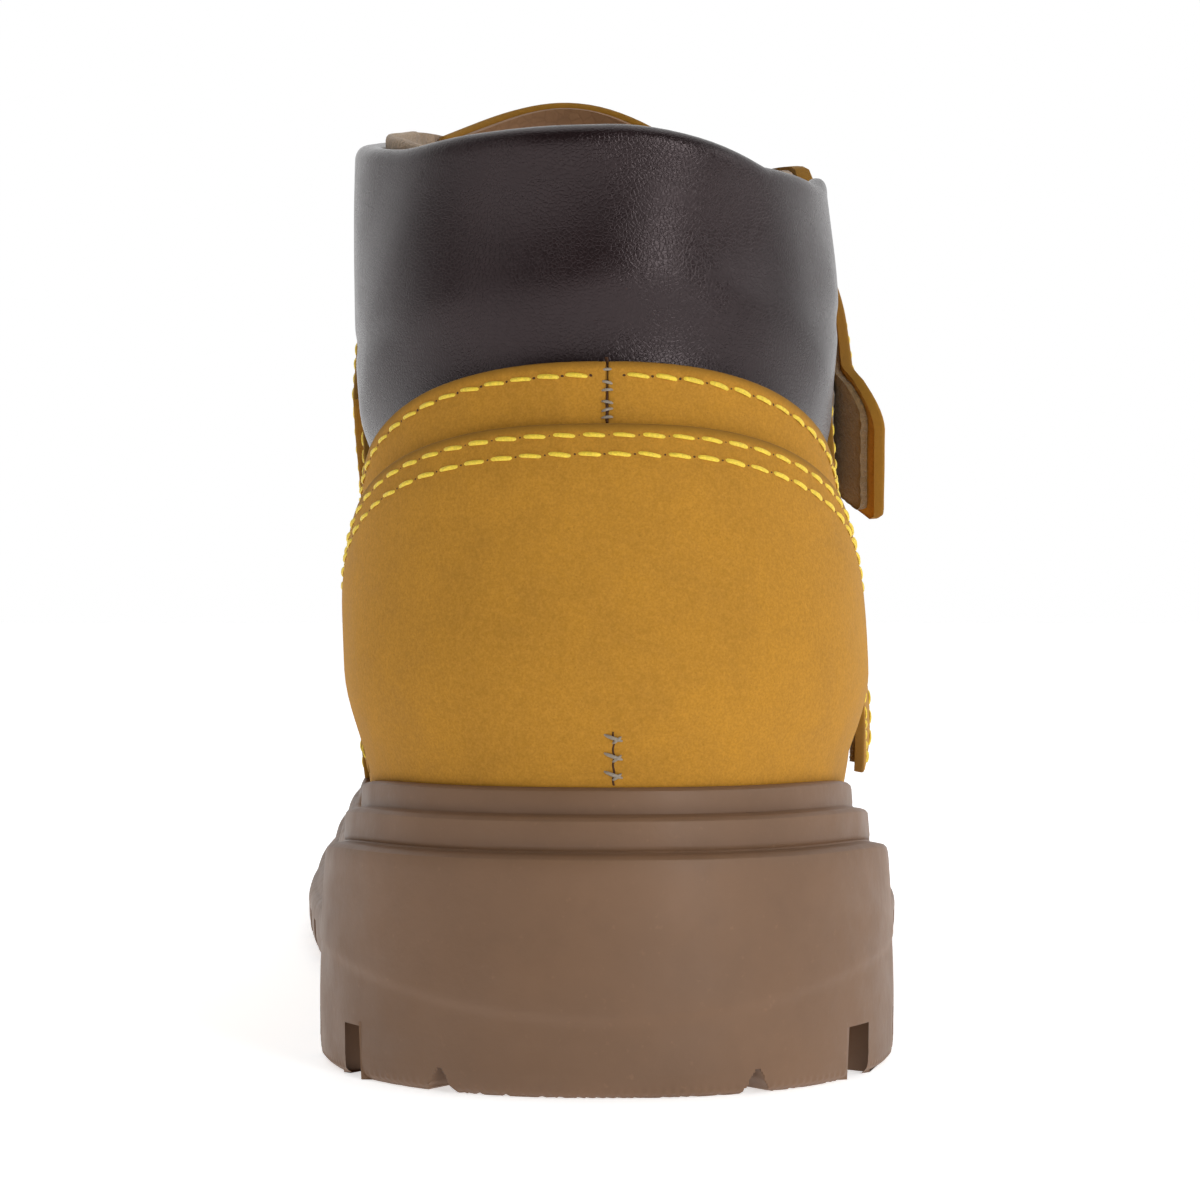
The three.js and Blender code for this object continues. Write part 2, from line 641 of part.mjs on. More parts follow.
function soleBody() {
  const pairs = soleOutline();
  const loop = [...pairs.map((p) => p.lateral), ...pairs.map((p) => p.medial).reverse()];
  const rings = WALL_RINGS.map(({ z, heel, ball }) => {
    const trim = (p) => (p.x > 0 ? LATERAL_TRIM * smooth(90, 140, p.y) * (1 - smooth(235, 280, p.y)) : 0);
    const grown = grownLoop(loop, (p) => lerp(heel, ball, smooth(80, 150, p.y)) * (1 - trim(p)));
    return grown.map((p) => {
      const lift = TOE_SPRING(p.y) * (z(40) < 10 ? 1 : 0);
      return new THREE.Vector3(p.x, p.y, z(wallTop(p.y)) + lift);
    });
  });
  const size = loop.length;
  const index = [];
  for (let r = 0; r + 1 < rings.length; r++) {
    for (let i = 0; i < size; i++) {
      const [a, b] = [r * size + i, r * size + ((i + 1) % size)];
      index.push(a, b, b + size, a, b + size, a + size);
    }
  }
  const last = (rings.length - 1) * size;
  for (let i = 0; i + 1 < pairs.length; i++) {
    const [l, lNext, m, mNext] = [i, i + 1, size - 1 - i, size - 2 - i];
    index.push(l, mNext, lNext, l, m, mNext);
    index.push(last + l, last + lNext, last + mNext, last + l, last + mNext, last + m);
  }
  const geometry = new THREE.BufferGeometry().setFromPoints(rings.flat()).setIndex(index);
  return { solid: solidFromGeometry(geometry), loop };
}

// Lugs round the edge, from distances along each side, and rows of lugs down the middle.
const EDGE_LUGS = {
  heel: { from: 12, to: 78, count: 3, gap: 3.2 },
  forefoot: { from: 134, to: 262, count: 7, gap: 5.5 },
};
const EDGE_LUG_DEPTH = 17;
const BREAST = { heel: 82, fore: 132, height: 10 };

function lugs() {
  const { loop } = soleBody();
  const wide = grownLoop(loop, () => 14);
  const inset = grownLoop(loop, () => -EDGE_LUG_DEPTH + 6);
  const half = loop.length / 2;
  const at = (line, y, side) => {
    const points = side === LATERAL ? line.slice(0, half) : line.slice(half).reverse();
    const i = Math.max(1, Math.min(half - 1, points.findIndex((p) => p.y > y)));
    const [a, b] = [points[i - 1], points[i]];
    const t = THREE.MathUtils.clamp((y - a.y) / (b.y - a.y), 0, 1);
    return [lerp(a.x, b.x, t), y];
  };
  let pattern = null;
  const add = (outline) => {
    const made = column(outline, -15, 20);
    pattern = pattern ? pattern.add(made) : made;
  };
  const slant = 4;
  for (const side of [LATERAL, MEDIAL]) {
    for (const { from, to, count, gap } of Object.values(EDGE_LUGS)) {
      const pitch = (to - from) / count;
      for (let i = 0; i < count; i++) {
        const [y0, y1] = [from + i * pitch + gap / 2, from + (i + 1) * pitch - gap / 2];
        const outline = [
          at(wide, y0, side), at(wide, y1, side), at(inset, y1 - slant, side), at(inset, y0 - slant, side),
        ];
        add(side === LATERAL ? outline : outline.reverse());
      }
    }
  }
  // One lug round the back of the heel and one across the toe.
  add([[-31.6, -20], [31, -20], [31, 9], [16, 5.5], [16, 13], [-16, 13], [-16, 5.5], [-31.6, 9]]);
  add([[-40, 320], [-30, 266], [6, 266], [22, 320]].reverse());
  for (const y of [17, 38, 59]) add([[-20, y], [20, y], [20, y + 16], [-20, y + 16]]);
  for (let i = 0; i < 5; i++) {
    const y = 140 + i * 24;
    const arm = 22 - i * 1.2;
    const x = ridgeX(y) * 0.6;
    add([[x - arm, y], [x, y + 8], [x + arm, y], [x + arm, y + 11], [x, y + 19], [x - arm, y + 11]]);
  }
  return pattern;
}

function sole() {
  const { solid } = soleBody();
  const tread = slab(() => -20, (y) => TOE_SPRING(y) + LUG_HEIGHT).subtract(lugs());
  const arch = prism([
    [BREAST.heel, floor],
    [BREAST.fore + 4, floor],
    [BREAST.fore, 2],
    [BREAST.fore - 14, BREAST.height - 2],
    [BREAST.heel + 16, BREAST.height],
    [BREAST.heel + 1, BREAST.height - 2],
  ]);
  const cup = form(0.35).intersect(slab(ledge, () => 200));
  const midsoleFloor = (y) => ledge(y) - MIDSOLE_DEPTH(y);
  const pocket = form(-3.2).intersect(slab((y) => midsoleFloor(y) - GAP, () => 200));
  const outsole = solid.subtract(tread).subtract(arch).subtract(cup).subtract(pocket);

  const shankBand = (grow) =>
    slab((y) => ledge(y) - 2.5 - grow, (y) => ledge(y) - 0.8 + grow * 4, 58 - grow, 158 + grow, 12).intersect(
      column([[-9 - grow, 50], [7 + grow, 50], [7 + grow, 170], [-9 - grow, 170]], -20, 60),
    );
  const midsole = form(-3.5).intersect(slab(midsoleFloor, (y) => ledge(y) - GAP)).subtract(shankBand(GAP));
  const board = form(-8.3).intersect(slab((y) => ledge(y), (y) => ledge(y) + 2.2));
  const footbed = form(-6.3).intersect(slab((y) => ledge(y) + 2.7, (y) => ledge(y) + 7.4));
  return group(
    node('outsole', biggest(outsole), materials.rubber),
    node('midsole', biggest(midsole), materials.midsole),
    node('steel_shank', biggest(shankBand(0)), materials.steel),
    node('insole_board', biggest(board), materials.board),
    node('footbed', biggest(footbed), materials.footbed),
  );
}

// ---- Assembly --------------------------------------------------------------------------------

const boot = new THREE.Group();
boot.add(sole(), outerLeather(), toeProtection(), linings(), collar(), tongue());
for (const name of Object.keys(STRAPS)) boot.add(strap(name));

const box = new THREE.Box3().setFromObject(boot);
boot.position.set(-(box.min.x + box.max.x) / 2, -(box.min.y + box.max.y) / 2, -box.min.z);

export default boot;
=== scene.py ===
"""Strap work boot with a steel toe, right foot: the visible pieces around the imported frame.

Lengths are worked out in millimetres on the boot form that part.mjs is cut from, with y = 0 at the
back of the foot and z = 0 on the ground, and put into the row frame in metres by place().
"""
import json
import math

import bpy
import numpy as np
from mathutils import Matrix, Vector


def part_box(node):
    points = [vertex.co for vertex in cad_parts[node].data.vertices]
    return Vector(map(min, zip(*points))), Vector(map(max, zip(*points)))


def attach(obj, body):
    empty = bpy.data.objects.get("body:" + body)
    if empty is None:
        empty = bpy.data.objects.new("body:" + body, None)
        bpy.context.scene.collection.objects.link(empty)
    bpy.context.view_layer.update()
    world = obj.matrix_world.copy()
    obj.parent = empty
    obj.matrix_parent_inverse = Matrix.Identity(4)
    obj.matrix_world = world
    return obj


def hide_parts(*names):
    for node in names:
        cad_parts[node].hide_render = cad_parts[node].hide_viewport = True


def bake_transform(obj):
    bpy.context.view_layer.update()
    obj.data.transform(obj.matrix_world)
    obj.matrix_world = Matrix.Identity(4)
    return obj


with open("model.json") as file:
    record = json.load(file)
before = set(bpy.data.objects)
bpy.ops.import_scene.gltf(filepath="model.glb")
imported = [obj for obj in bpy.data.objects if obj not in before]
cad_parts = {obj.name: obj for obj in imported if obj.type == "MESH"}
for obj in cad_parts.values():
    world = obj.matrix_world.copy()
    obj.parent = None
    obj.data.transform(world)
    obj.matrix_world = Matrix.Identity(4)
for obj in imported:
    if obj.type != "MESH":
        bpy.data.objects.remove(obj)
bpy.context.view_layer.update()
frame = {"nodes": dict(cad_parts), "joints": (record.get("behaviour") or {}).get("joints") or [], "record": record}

MM = 0.001
# The shank's lowest corner ties the form's millimetres to the frame.
SHANK_CORNER = (-9.0, 58.0)
_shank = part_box("steel_shank")[0]
ORIGIN = np.array([SHANK_CORNER[0] - _shank.x / MM, SHANK_CORNER[1] - _shank.y / MM, 0.0])
ROOT = "boot"
MEDIAL, LATERAL = -1, 1
GAP = 0.3
RANDOM = np.random.default_rng(42)


def place(points):
    """Form millimetres to row-frame metres."""
    return (np.asarray(points, float) - ORIGIN) * MM


# ---- The boot form ---------------------------------------------------------------------------

TOE_START_Y = 232.0
TOE_LENGTH = 64.0
FEATHER_Z = 24.0
TOE_HEIGHT = 46.0
FORM_BOTTOM_Z = 8.0
FAN_Y, FAN_Z = TOE_START_Y, 178.0
FAN_END = math.radians(84)


def through(points):
    """A smooth function through (x, value) points, level beyond its ends."""
    x, v = np.array(points, float).T
    last = len(x) - 1
    before = np.maximum(np.arange(last + 1) - 1, 0)
    after = np.minimum(np.arange(last + 1) + 1, last)
    slope = (v[after] - v[before]) / (x[after] - x[before])

    def f(q):
        q = np.clip(np.asarray(q, float), x[0], x[-1])
        i = np.clip(np.searchsorted(x, q, side="right") - 1, 0, last - 1)
        span = x[i + 1] - x[i]
        t = (q - x[i]) / span
        swing = slope[i] * span * t * (1 - t) ** 2 - slope[i + 1] * span * t * t * (1 - t)
        return v[i] + (v[i + 1] - v[i]) * t * t * (3 - 2 * t) + swing

    return f


def smooth(a, b, x):
    t = np.clip((np.asarray(x, float) - a) / (b - a), 0, 1)
    return t * t * (3 - 2 * t)


def lerp(a, b, t):
    return a + (b - a) * t


RIDGE = [
    (232, 70), (212, 72.5), (192, 80), (172, 91), (153, 104.5), (137, 119.5), (125.5, 136), (118, 153),
    (114.5, 165),
]
# Half widths of the sole's form, and of the upper where it stands clear of the sole.
SOLE_REACH = {
    MEDIAL: through([
        (0, 34.6), (40, 34.6), (80, 35), (115, 37.5), (150, 42.5), (185, 46.5), (210, 48), (232, 48.5),
        (264, 51), (296, 55),
    ]),
    LATERAL: through([
        (0, 34.6), (40, 34.8), (80, 36.8), (115, 39.5), (150, 43.5), (180, 46.8), (205, 47),
        (232, 45.5), (264, 40), (296, 32),
    ]),
}
REACH = {
    MEDIAL: through([
        (0, 34.6), (40, 34.4), (80, 34.6), (115, 36.3), (150, 39.8), (185, 44.5), (210, 47),
        (232, 48.3), (264, 51), (296, 55),
    ]),
    LATERAL: through([
        (0, 34.6), (40, 34.4), (80, 35.6), (115, 37.6), (150, 41.5), (180, 45.5), (205, 46.6),
        (232, 45.5), (264, 40), (296, 32),
    ]),
}
ANKLE_REACH = {MEDIAL: 36.1, LATERAL: 33.2}
# The hollow at the ankle: its depth, and where it is and how far it reaches in z and y.
WAIST = {"depth": 1.5, "z": 82, "height": 13, "y": 42, "length": 20}
ridge_x = through([(0, 0), (50, 0), (120, -4.5), (180, -5), (232, -6), (296, -12)])
ridge_radius = through(
    [(math.atan2(FAN_Y - y, FAN_Z - z), math.hypot(FAN_Y - y, FAN_Z - z)) for y, z in RIDGE]
)
ridge_round = through([(0, TOE_HEIGHT), (0.5, 52), (0.9, 56), (1.2, 58), (1.47, 58)])
heel_line = through([
    (8, 4.6), (37, 4.2), (57, 2.6), (75, 4.2), (95, 8), (110, 9), (125, 7), (140, 5), (160, 3),
])
heel_round = through([(40, 37), (130, 46)])
squareness = through([(140, 2.15), (232, 2.6)])
tuck = through([(60, 0.12), (150, 0.06), (230, 0.03)])
wall_top = through([
    (0, 39), (25, 38.5), (60, 35), (95, 30.5), (130, 26.5), (165, 24.3), (200, 23.8), (235, 25),
    (265, 28), (296, 31.5),
])
LEDGE_DEPTH = 8.5


def ledge(y):
    return wall_top(y) - LEDGE_DEPTH


def half_width(y, z, side):
    ankle = smooth(45, 100, z) * (1 - smooth(170, 220, y))
    medial = side == MEDIAL
    reach = np.where(medial, REACH[MEDIAL](y), REACH[LATERAL](y))
    reach = lerp(reach, np.where(medial, ANKLE_REACH[MEDIAL], ANKLE_REACH[LATERAL]), ankle)
    up, along = (z - WAIST["z"]) / WAIST["height"], (y - WAIST["y"]) / WAIST["length"]
    reach = reach - WAIST["depth"] * np.exp(-(up**2) - along**2)
    tucked = 1 - tuck(y) * (1 - smooth(wall_top(y) - 2, wall_top(y) + 16, z))
    return reach * tucked - side * ridge_x(y)


def rounding(y, z):
    n = squareness(y)
    toe = np.maximum(0, (y - TOE_START_Y) / TOE_LENGTH)
    heel = np.clip(1 - (y - heel_line(z)) / heel_round(z), 0, 1.5)
    angle = np.arctan2(np.maximum(FAN_Y - y, 1e-9), FAN_Z - z)
    depth = np.hypot(FAN_Y - y, FAN_Z - z) - ridge_radius(angle)
    top = np.where(y < FAN_Y, 1 - depth / ridge_round(angle), (z - FEATHER_Z) / TOE_HEIGHT)
    return np.maximum(0, top) ** n + toe**n + heel**n


def form_level(p):
    x, y, z = p[..., 0], p[..., 1], p[..., 2]
    side = np.where(x < ridge_x(y), MEDIAL, LATERAL)
    across = np.abs(x - ridge_x(y)) / half_width(y, z, side)
    return across ** squareness(y) + rounding(y, z)


def form_point(y, z, side):
    n = squareness(y)
    x = half_width(y, z, side) * np.maximum(0, 1 - rounding(y, z)) ** (1 / n)
    return np.stack([ridge_x(y) + side * x, y, z], -1)


def form_normal(p):
    step = 0.05
    slope = []
    for axis in range(3):
        d = np.zeros(3)
        d[axis] = step
        slope.append(form_level(p + d) - form_level(p - d))
    n = np.stack(slope, -1)
    return n / np.maximum(np.linalg.norm(n, axis=-1, keepdims=True), 1e-12)


def arc_lengths(points):
    return np.concatenate([[0], np.cumsum(np.linalg.norm(np.diff(points, axis=0), axis=1))])


def resample(points, count):
    """count evenly spaced points along a polyline."""
    points = np.asarray(points, float)
    along = arc_lengths(points)
    at = np.linspace(0, along[-1], count)
    return np.stack([np.interp(at, along, points[:, k]) for k in range(points.shape[1])], -1)


def eased(count):
    """Steps from 0 to 1 that crowd towards both ends."""
    return (1 - np.cos(np.linspace(0, math.pi, count))) / 2


SECTION_STEPS = 260


def half_section(start, end, side, count):
    """Points of one half of a section, in side view from start on the ridge to end."""
    q = eased(SECTION_STEPS)
    y = lerp(start[0], end[0], q)
    z = lerp(start[1], end[1], q)
    fine = form_point(y, z, side)
    fine[0, 0] = ridge_x(start[0])
    return resample(fine, count)


# Sections of the form: over the toe, then the fan's two stretches, with their split in radians.
TOE_SECTIONS, FRONT_SECTIONS, REAR_SECTIONS = 34, 56, 84
FINER_FROM = 0.9
BEYOND_FORM = 400.0
HALVINGS = 50


def section_ends():
    """Side-view ends of each section, and whether its far end lies on the heel's outline."""
    ends = []
    n = float(squareness(TOE_START_Y))
    for turn in np.radians(np.linspace(90, 3, TOE_SECTIONS)):
        y = TOE_START_Y + TOE_LENGTH * math.sin(turn) ** (2 / n)
        top = FEATHER_Z + TOE_HEIGHT * max(math.cos(turn), 0) ** (2 / n)
        ends.append(((y, top), (y, FORM_BOTTOM_Z), False))
    front = np.linspace(0, FINER_FROM, FRONT_SECTIONS, endpoint=False)
    rear = np.linspace(FINER_FROM, FAN_END, REAR_SECTIONS)
    for angle in np.concatenate([front, rear]):
        def at(r):
            return FAN_Y - r * math.sin(angle), FAN_Z - r * math.cos(angle)

        near = start = float(ridge_radius(angle))
        far = BEYOND_FORM
        for _ in range(HALVINGS):
            middle = (near + far) / 2
            y, z = at(middle)
            if z > FORM_BOTTOM_Z and y > float(heel_line(z)):
                near = middle
            else:
                far = middle
        ends.append((at(start), at(near), at(near)[1] > FORM_BOTTOM_Z + 0.5))
    return ends


COLUMNS = 76


def make_base():
    """The form's surface as points and quads, in high resolution."""
    points, rows = [], []

    def keep(p):
        points.append(p)
        return len(points) - 1

    for start, end, on_heel in section_ends():
        lateral = [keep(p) for p in half_section(start, end, LATERAL, COLUMNS)]
        medial_points = half_section(start, end, MEDIAL, COLUMNS)
        if start[0] > TOE_START_Y + TOE_LENGTH - 1e-6:
            medial = list(lateral)
        else:
            medial = [lateral[0]] + [keep(p) for p in medial_points[1:-1]]
            medial.append(lateral[-1] if on_heel else keep(medial_points[-1]))
        rows.append((lateral, medial))
    quads = []
    for (la, ma), (lb, mb) in zip(rows, rows[1:]):
        for i in range(COLUMNS - 1):
            quads.append((la[i], lb[i], lb[i + 1], la[i + 1]))
            quads.append((ma[i], ma[i + 1], mb[i + 1], mb[i]))
    clean = []
    for quad in quads:
        ring = [v for k, v in enumerate(quad) if v != quad[k - 1]]
        if len(set(ring)) == len(ring) >= 3:
            clean.append(tuple(ring))
    return np.array(points), clean


BASE, BASE_FACES = make_base()
BASE_SIDE = np.sign(BASE[:, 0] - ridge_x(BASE[:, 1]))


def as_quads(faces):
    """An array of four corners a face, a triangle's last corner twice."""
    return np.array([face if len(face) == 4 else (*face, face[-1]) for face in faces])


FACE_ARRAY = as_quads(BASE_FACES)

# ---- Side-view outlines, as in part.mjs -------------------------------------------------------


def curve(points, steps=24):
    """A smooth line through (y, z) points (uniform Catmull-Rom, as part.mjs draws it)."""
    p = np.array(points, float)
    last = len(p) - 1
    t = np.linspace(0, last, steps + 1)
    i = np.minimum(t.astype(int), last - 1)
    w = (t - i)[:, None]
    p0, p1 = p[np.maximum(i - 1, 0)], p[i]
    p2, p3 = p[i + 1], p[np.minimum(i + 2, last)]
    v0, v1 = (p2 - p0) / 2, (p3 - p1) / 2
    return (2 * p1 - 2 * p2 + v0 + v1) * w**3 + (-3 * p1 + 3 * p2 - 2 * v0 - v1) * w**2 + v0 * w + p1


def distance(points, line, closed=False):
    """How far (y, z) points are from a polyline."""
    line = np.asarray(line, float)
    if closed:
        line = np.vstack([line, line[:1]])
    best = np.full(len(points), 1e9)
    for a, b in zip(line, line[1:]):
        d = b - a
        length = d @ d
        if length < 1e-12:
            continue
        t = np.clip(((points - a) @ d) / length, 0, 1)
        best = np.minimum(best, np.linalg.norm(points - a - t[:, None] * d, axis=1))
    return best


def inside(points, outline):
    y, z = points[:, 0], points[:, 1]
    hit = np.zeros(len(points), bool)
    ring = np.asarray(outline, float)
    for (y0, z0), (y1, z1) in zip(ring, np.roll(ring, -1, axis=0)):
        if z0 == z1:
            continue
        crosses = (z0 > z) != (z1 > z)
        hit ^= crosses & (y < (y1 - y0) * (z - z0) / (z1 - z0) + y0)
    return hit


def region(outline, points=None):
    """Signed distance in side view to a closed outline, positive inside it."""
    flat = (BASE if points is None else points)[:, 1:]
    d = distance(flat, outline, closed=True)
    return np.where(inside(flat, outline), d, -d)


HEEL_PANEL_EDGE = [
    (-15, 86.3), (3, 86), (13, 83.6), (26, 77.8), (40, 69.5), (56, 59.5), (74, 49.5), (92, 40),
    (108, 29),
]
COLLAR_SEAM = [(-15, 95.2), (3, 95), (14, 91.8), (26, 86), (38, 79.8), (49, 77)]
COLLAR_FRONT = [(49, 77), (62, 85.5), (73, 101), (80, 116), (85, 133)]
COLLAR_TOP = {
    MEDIAL: [
        (85, 134.2), (70, 131.5), (48, 128), (32, 125.2), (22, 123.9), (12, 124.4), (3, 125),
        (-15, 124.7),
    ],
    LATERAL: [
        (85, 127.6), (70, 125.3), (48, 123.2), (34, 122), (22, 123), (12, 124.4), (3, 125),
        (-15, 124.7),
    ],
}
VAMP_EDGE = [(201, 92), (190, 68), (174, 52), (154, 39), (136, 29), (122, 12)]
TOE_COVER_EDGE = [(222, 90), (226, 66), (233, 48), (244, 34), (250, 20)]
HEEL_LINING_EDGE = [(-15, 90), (3, 90), (26, 82), (60, 64), (88, 42), (104, 16)]
FACING_DEPTH = 9.0
THROAT_ANGLE = 0.385
FACING_END_ANGLE = 1.268
QUARTER_TOP = {MEDIAL: 135.5, LATERAL: 132.0}
FLOOR = -20.0


def below_ridge(angle, depth):
    r = float(ridge_radius(angle)) + depth
    return FAN_Y - r * math.sin(angle), FAN_Z - r * math.cos(angle)


def along_ridge(a, b, depth, steps=40):
    return [below_ridge(t, depth) for t in np.linspace(a, b, steps + 1)]


def below(line, dy=0.0, dz=0.0):
    edge = curve(line, 40) + (dy, dz)
    return [*edge, (edge[-1][0], FLOOR), (edge[0][0], FLOOR)]


def ahead_of(line, dy=0.0):
    edge = curve(line, 40) + (dy, 0)
    return [*edge, (330, edge[-1][1]), (330, edge[0][1])]


vamp_seam = np.array([p for p in curve(VAMP_EDGE, 40) if p[1] < 68])


def quarter_outline(side, top=None):
    top = QUARTER_TOP[side] if top is None else top
    facing = [p for p in along_ridge(THROAT_ANGLE, FACING_END_ANGLE + 0.02, FACING_DEPTH) if p[1] < top]
    front = [p for p in curve(COLLAR_FRONT, 30) if p[1] < top - 3]
    rear, fore = front[-1][0], facing[-1][0]
    corner = np.array([(rear + 1.5, top - 5), (rear + 6, top - 1.2), (fore - 6, top + 0.4), facing[-1]])
    return [
        (-15, FLOOR),
        (vamp_seam[-1][0] - GAP, FLOOR),
        *(vamp_seam[::-1] - (GAP, 0)),
        *facing,
        *curve(corner, 12)[::-1],
        *front[::-1],
        *curve(COLLAR_SEAM, 30)[::-1],
    ]


# ---- Meshes ----------------------------------------------------------------------------------


def add_object(name, vertices, faces, material, attributes=None, sharp=40):
    mesh = bpy.data.meshes.new(name)
    mesh.from_pydata(place(vertices).tolist(), [], [tuple(int(v) for v in f) for f in faces])
    mesh.validate()
    for key, values in (attributes or {}).items():
        layer = mesh.attributes.new(key, "FLOAT", "POINT")
        layer.data.foreach_set("value", np.asarray(values, np.float32))
    mesh.polygons.foreach_set("use_smooth", [True] * len(mesh.polygons))
    mesh.set_sharp_from_angle(angle=math.radians(sharp))
    mesh.materials.append(material)
    made = bpy.data.objects.new(name, mesh)
    bpy.context.collection.objects.link(made)
    return made


def own(made, replaces=(), body=ROOT):
    """What a piece rides on and the CAD nodes that it stands for."""
    if body:
        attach(made, body)
    if replaces:
        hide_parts(*replaces)


# A cut this close to a point, as a share of its edge, moves the point instead.
SNAP = 0.3


def cut(f, points=BASE, faces=BASE_FACES):
    """The part of the base surface where f >= 0: points, faces, and f at the points."""
    p, f = points.copy(), f.astype(float).copy()
    arr = FACE_ARRAY if faces is BASE_FACES else as_quads(faces)
    signs = f[arr] > 0
    mixed = signs.any(1) & ~signs.all(1)
    best = {}
    for face in arr[mixed]:
        for a, b in zip(face, np.roll(face, -1)):
            if f[a] * f[b] < 0:
                t = f[a] / (f[a] - f[b])
                for v, w, s in ((a, b, t), (b, a, 1 - t)):
                    if s < SNAP and s < best.get(v, (9, 0))[0]:
                        best[v] = (s, w)
    for v, (s, w) in best.items():
        p[v] = lerp(points[v], points[w], s)
    for v in best:
        f[v] = 0
    high, low = f[arr].max(1), f[arr].min(1)
    out_faces = [faces[i] for i in np.nonzero(low >= 0)[0] if high[i] > 0]
    extra, extra_key = [], {}

    def crossing(a, b):
        key = (min(a, b), max(a, b))
        if key not in extra_key:
            t = f[a] / (f[a] - f[b])
            extra_key[key] = len(p) + len(extra)
            extra.append(lerp(p[a], p[b], t))
        return extra_key[key]

    for i in np.nonzero((low < 0) & (high > 0))[0]:
        ring, face = [], faces[i]
        for k, a in enumerate(face):
            b = face[(k + 1) % len(face)]
            if f[a] >= 0:
                ring.append(a)
            if f[a] * f[b] < 0:
                ring.append(crossing(a, b))
        if len(ring) >= 3:
            out_faces.append(tuple(ring))
    allp = np.vstack([p, np.array(extra).reshape(-1, 3)])
    allf = np.concatenate([f, np.zeros(len(extra))])
    used = sorted({v for face in out_faces for v in face})
    index = {v: k for k, v in enumerate(used)}
    return allp[used], [tuple(index[v] for v in face) for face in out_faces], allf[used]


def biggest_part(faces):
    """Only the largest connected set of faces."""
    parent = {}

    def find(a):
        while parent.setdefault(a, a) != a:
            parent[a] = parent[parent[a]]
            a = parent[a]
        return a

    for face in faces:
        for v in face[1:]:
            parent[find(v)] = find(face[0])
    groups = {}
    for face in faces:
        groups.setdefault(find(face[0]), []).append(face)
    return max(groups.values(), key=len)


def border(points, faces, normals):
    """Directed border edges, and at each border point the direction that leads out of the surface."""
    edges = {(face[k - 1], v) for face in faces for k, v in enumerate(face)}
    rim = [(a, b) for a, b in edges if (b, a) not in edges]
    outward = np.zeros_like(points)
    for a, b in rim:
        d = points[b] - points[a]
        out = np.cross(d, (normals[a] + normals[b]) / 2)
        outward[a] += out
        outward[b] += out
    length = np.linalg.norm(outward, axis=1, keepdims=True)
    return rim, outward / np.maximum(length, 1e-9)


def thick(name, points, faces, outer, inner, material, rim, edge, steps=4, full=False, square=1.0):
    """A closed body between two offsets of a surface. Its edge is rounded outwards by rim: a quarter
    round on the outer side, or a full half round for a padded edge. edge is each point's distance
    from the border, kept for the material."""
    faces = biggest_part(faces)
    used = sorted({v for face in faces for v in face})
    index = {v: k for k, v in enumerate(used)}
    points = points[used]
    faces = [tuple(index[v] for v in face) for face in faces]
    edge = np.asarray(edge)[used]
    normals = form_normal(points)
    high = outer(points) if callable(outer) else np.full(len(points), float(outer))
    low = inner(points) if callable(inner) else np.full(len(points), float(inner))
    edges, outward = border(points, faces, normals)
    ring = sorted({v for edge in edges for v in edge})
    at = {v: k for k, v in enumerate(ring)}
    r, o, n = points[ring], outward[ring], normals[ring]
    h, l = high[ring][:, None], low[ring][:, None]
    loops = []
    if full:
        middle, half = (h + l) / 2, (h - l) / 2
        for a in np.linspace(0, math.pi, steps + 2)[1:-1]:
            up = math.copysign(abs(math.cos(a)) ** square, math.cos(a))
            loops.append(r + o * rim * math.sin(a) ** square + n * (middle + half * up))
    else:
        for a in np.linspace(0, math.pi / 2, steps)[1:]:
            loops.append(r + o * rim * math.sin(a) + n * (h - rim * (1 - math.cos(a))))
        loops.append(r + o * rim + n * l)
    count = len(points)
    vertices = [points + normals * high[:, None], *loops, points + normals * low[:, None]]
    base = [count + k * len(ring) for k in range(len(loops))]
    last = count + len(loops) * len(ring)
    made = list(faces) + [tuple(last + v for v in reversed(face)) for face in faces]
    for a, b in edges:
        levels = [(a, b)] + [(s + at[a], s + at[b]) for s in base] + [(last + a, last + b)]
        for (a0, b0), (a1, b1) in zip(levels, levels[1:]):
            made.append((b0, a0, a1, b1))
    edge = np.concatenate([edge, *[edge[ring] * 0 for _ in loops], edge])
    return add_object(name, np.vstack(vertices), made, material, {"edge": edge})


def no_more_than_quads(faces):
    """Five-sided faces split into a quad and a triangle."""
    parts = ([face] if len(face) < 5 else [face[:4], (face[0], *face[3:])] for face in faces)
    return [piece for pieces in parts for piece in pieces]


def panel(name, f, outer, inner, material, rim, slot, replaces, body=ROOT, half=None, **more):
    """A leather or lining panel: the part of the form where f >= 0, between two offsets. With half,
    f is a function that is cut from one side of the form alone."""
    if half is None:
        points, faces, edge = cut(f - rim)
    else:
        points, faces, _ = cut(half - rim)
        faces = no_more_than_quads(faces)
        points, faces, edge = cut(f(points) - rim, points, faces)
    made = thick(name, points, faces, outer, inner, material, rim, edge, **more)
    own(made, replaces, body)
    return made


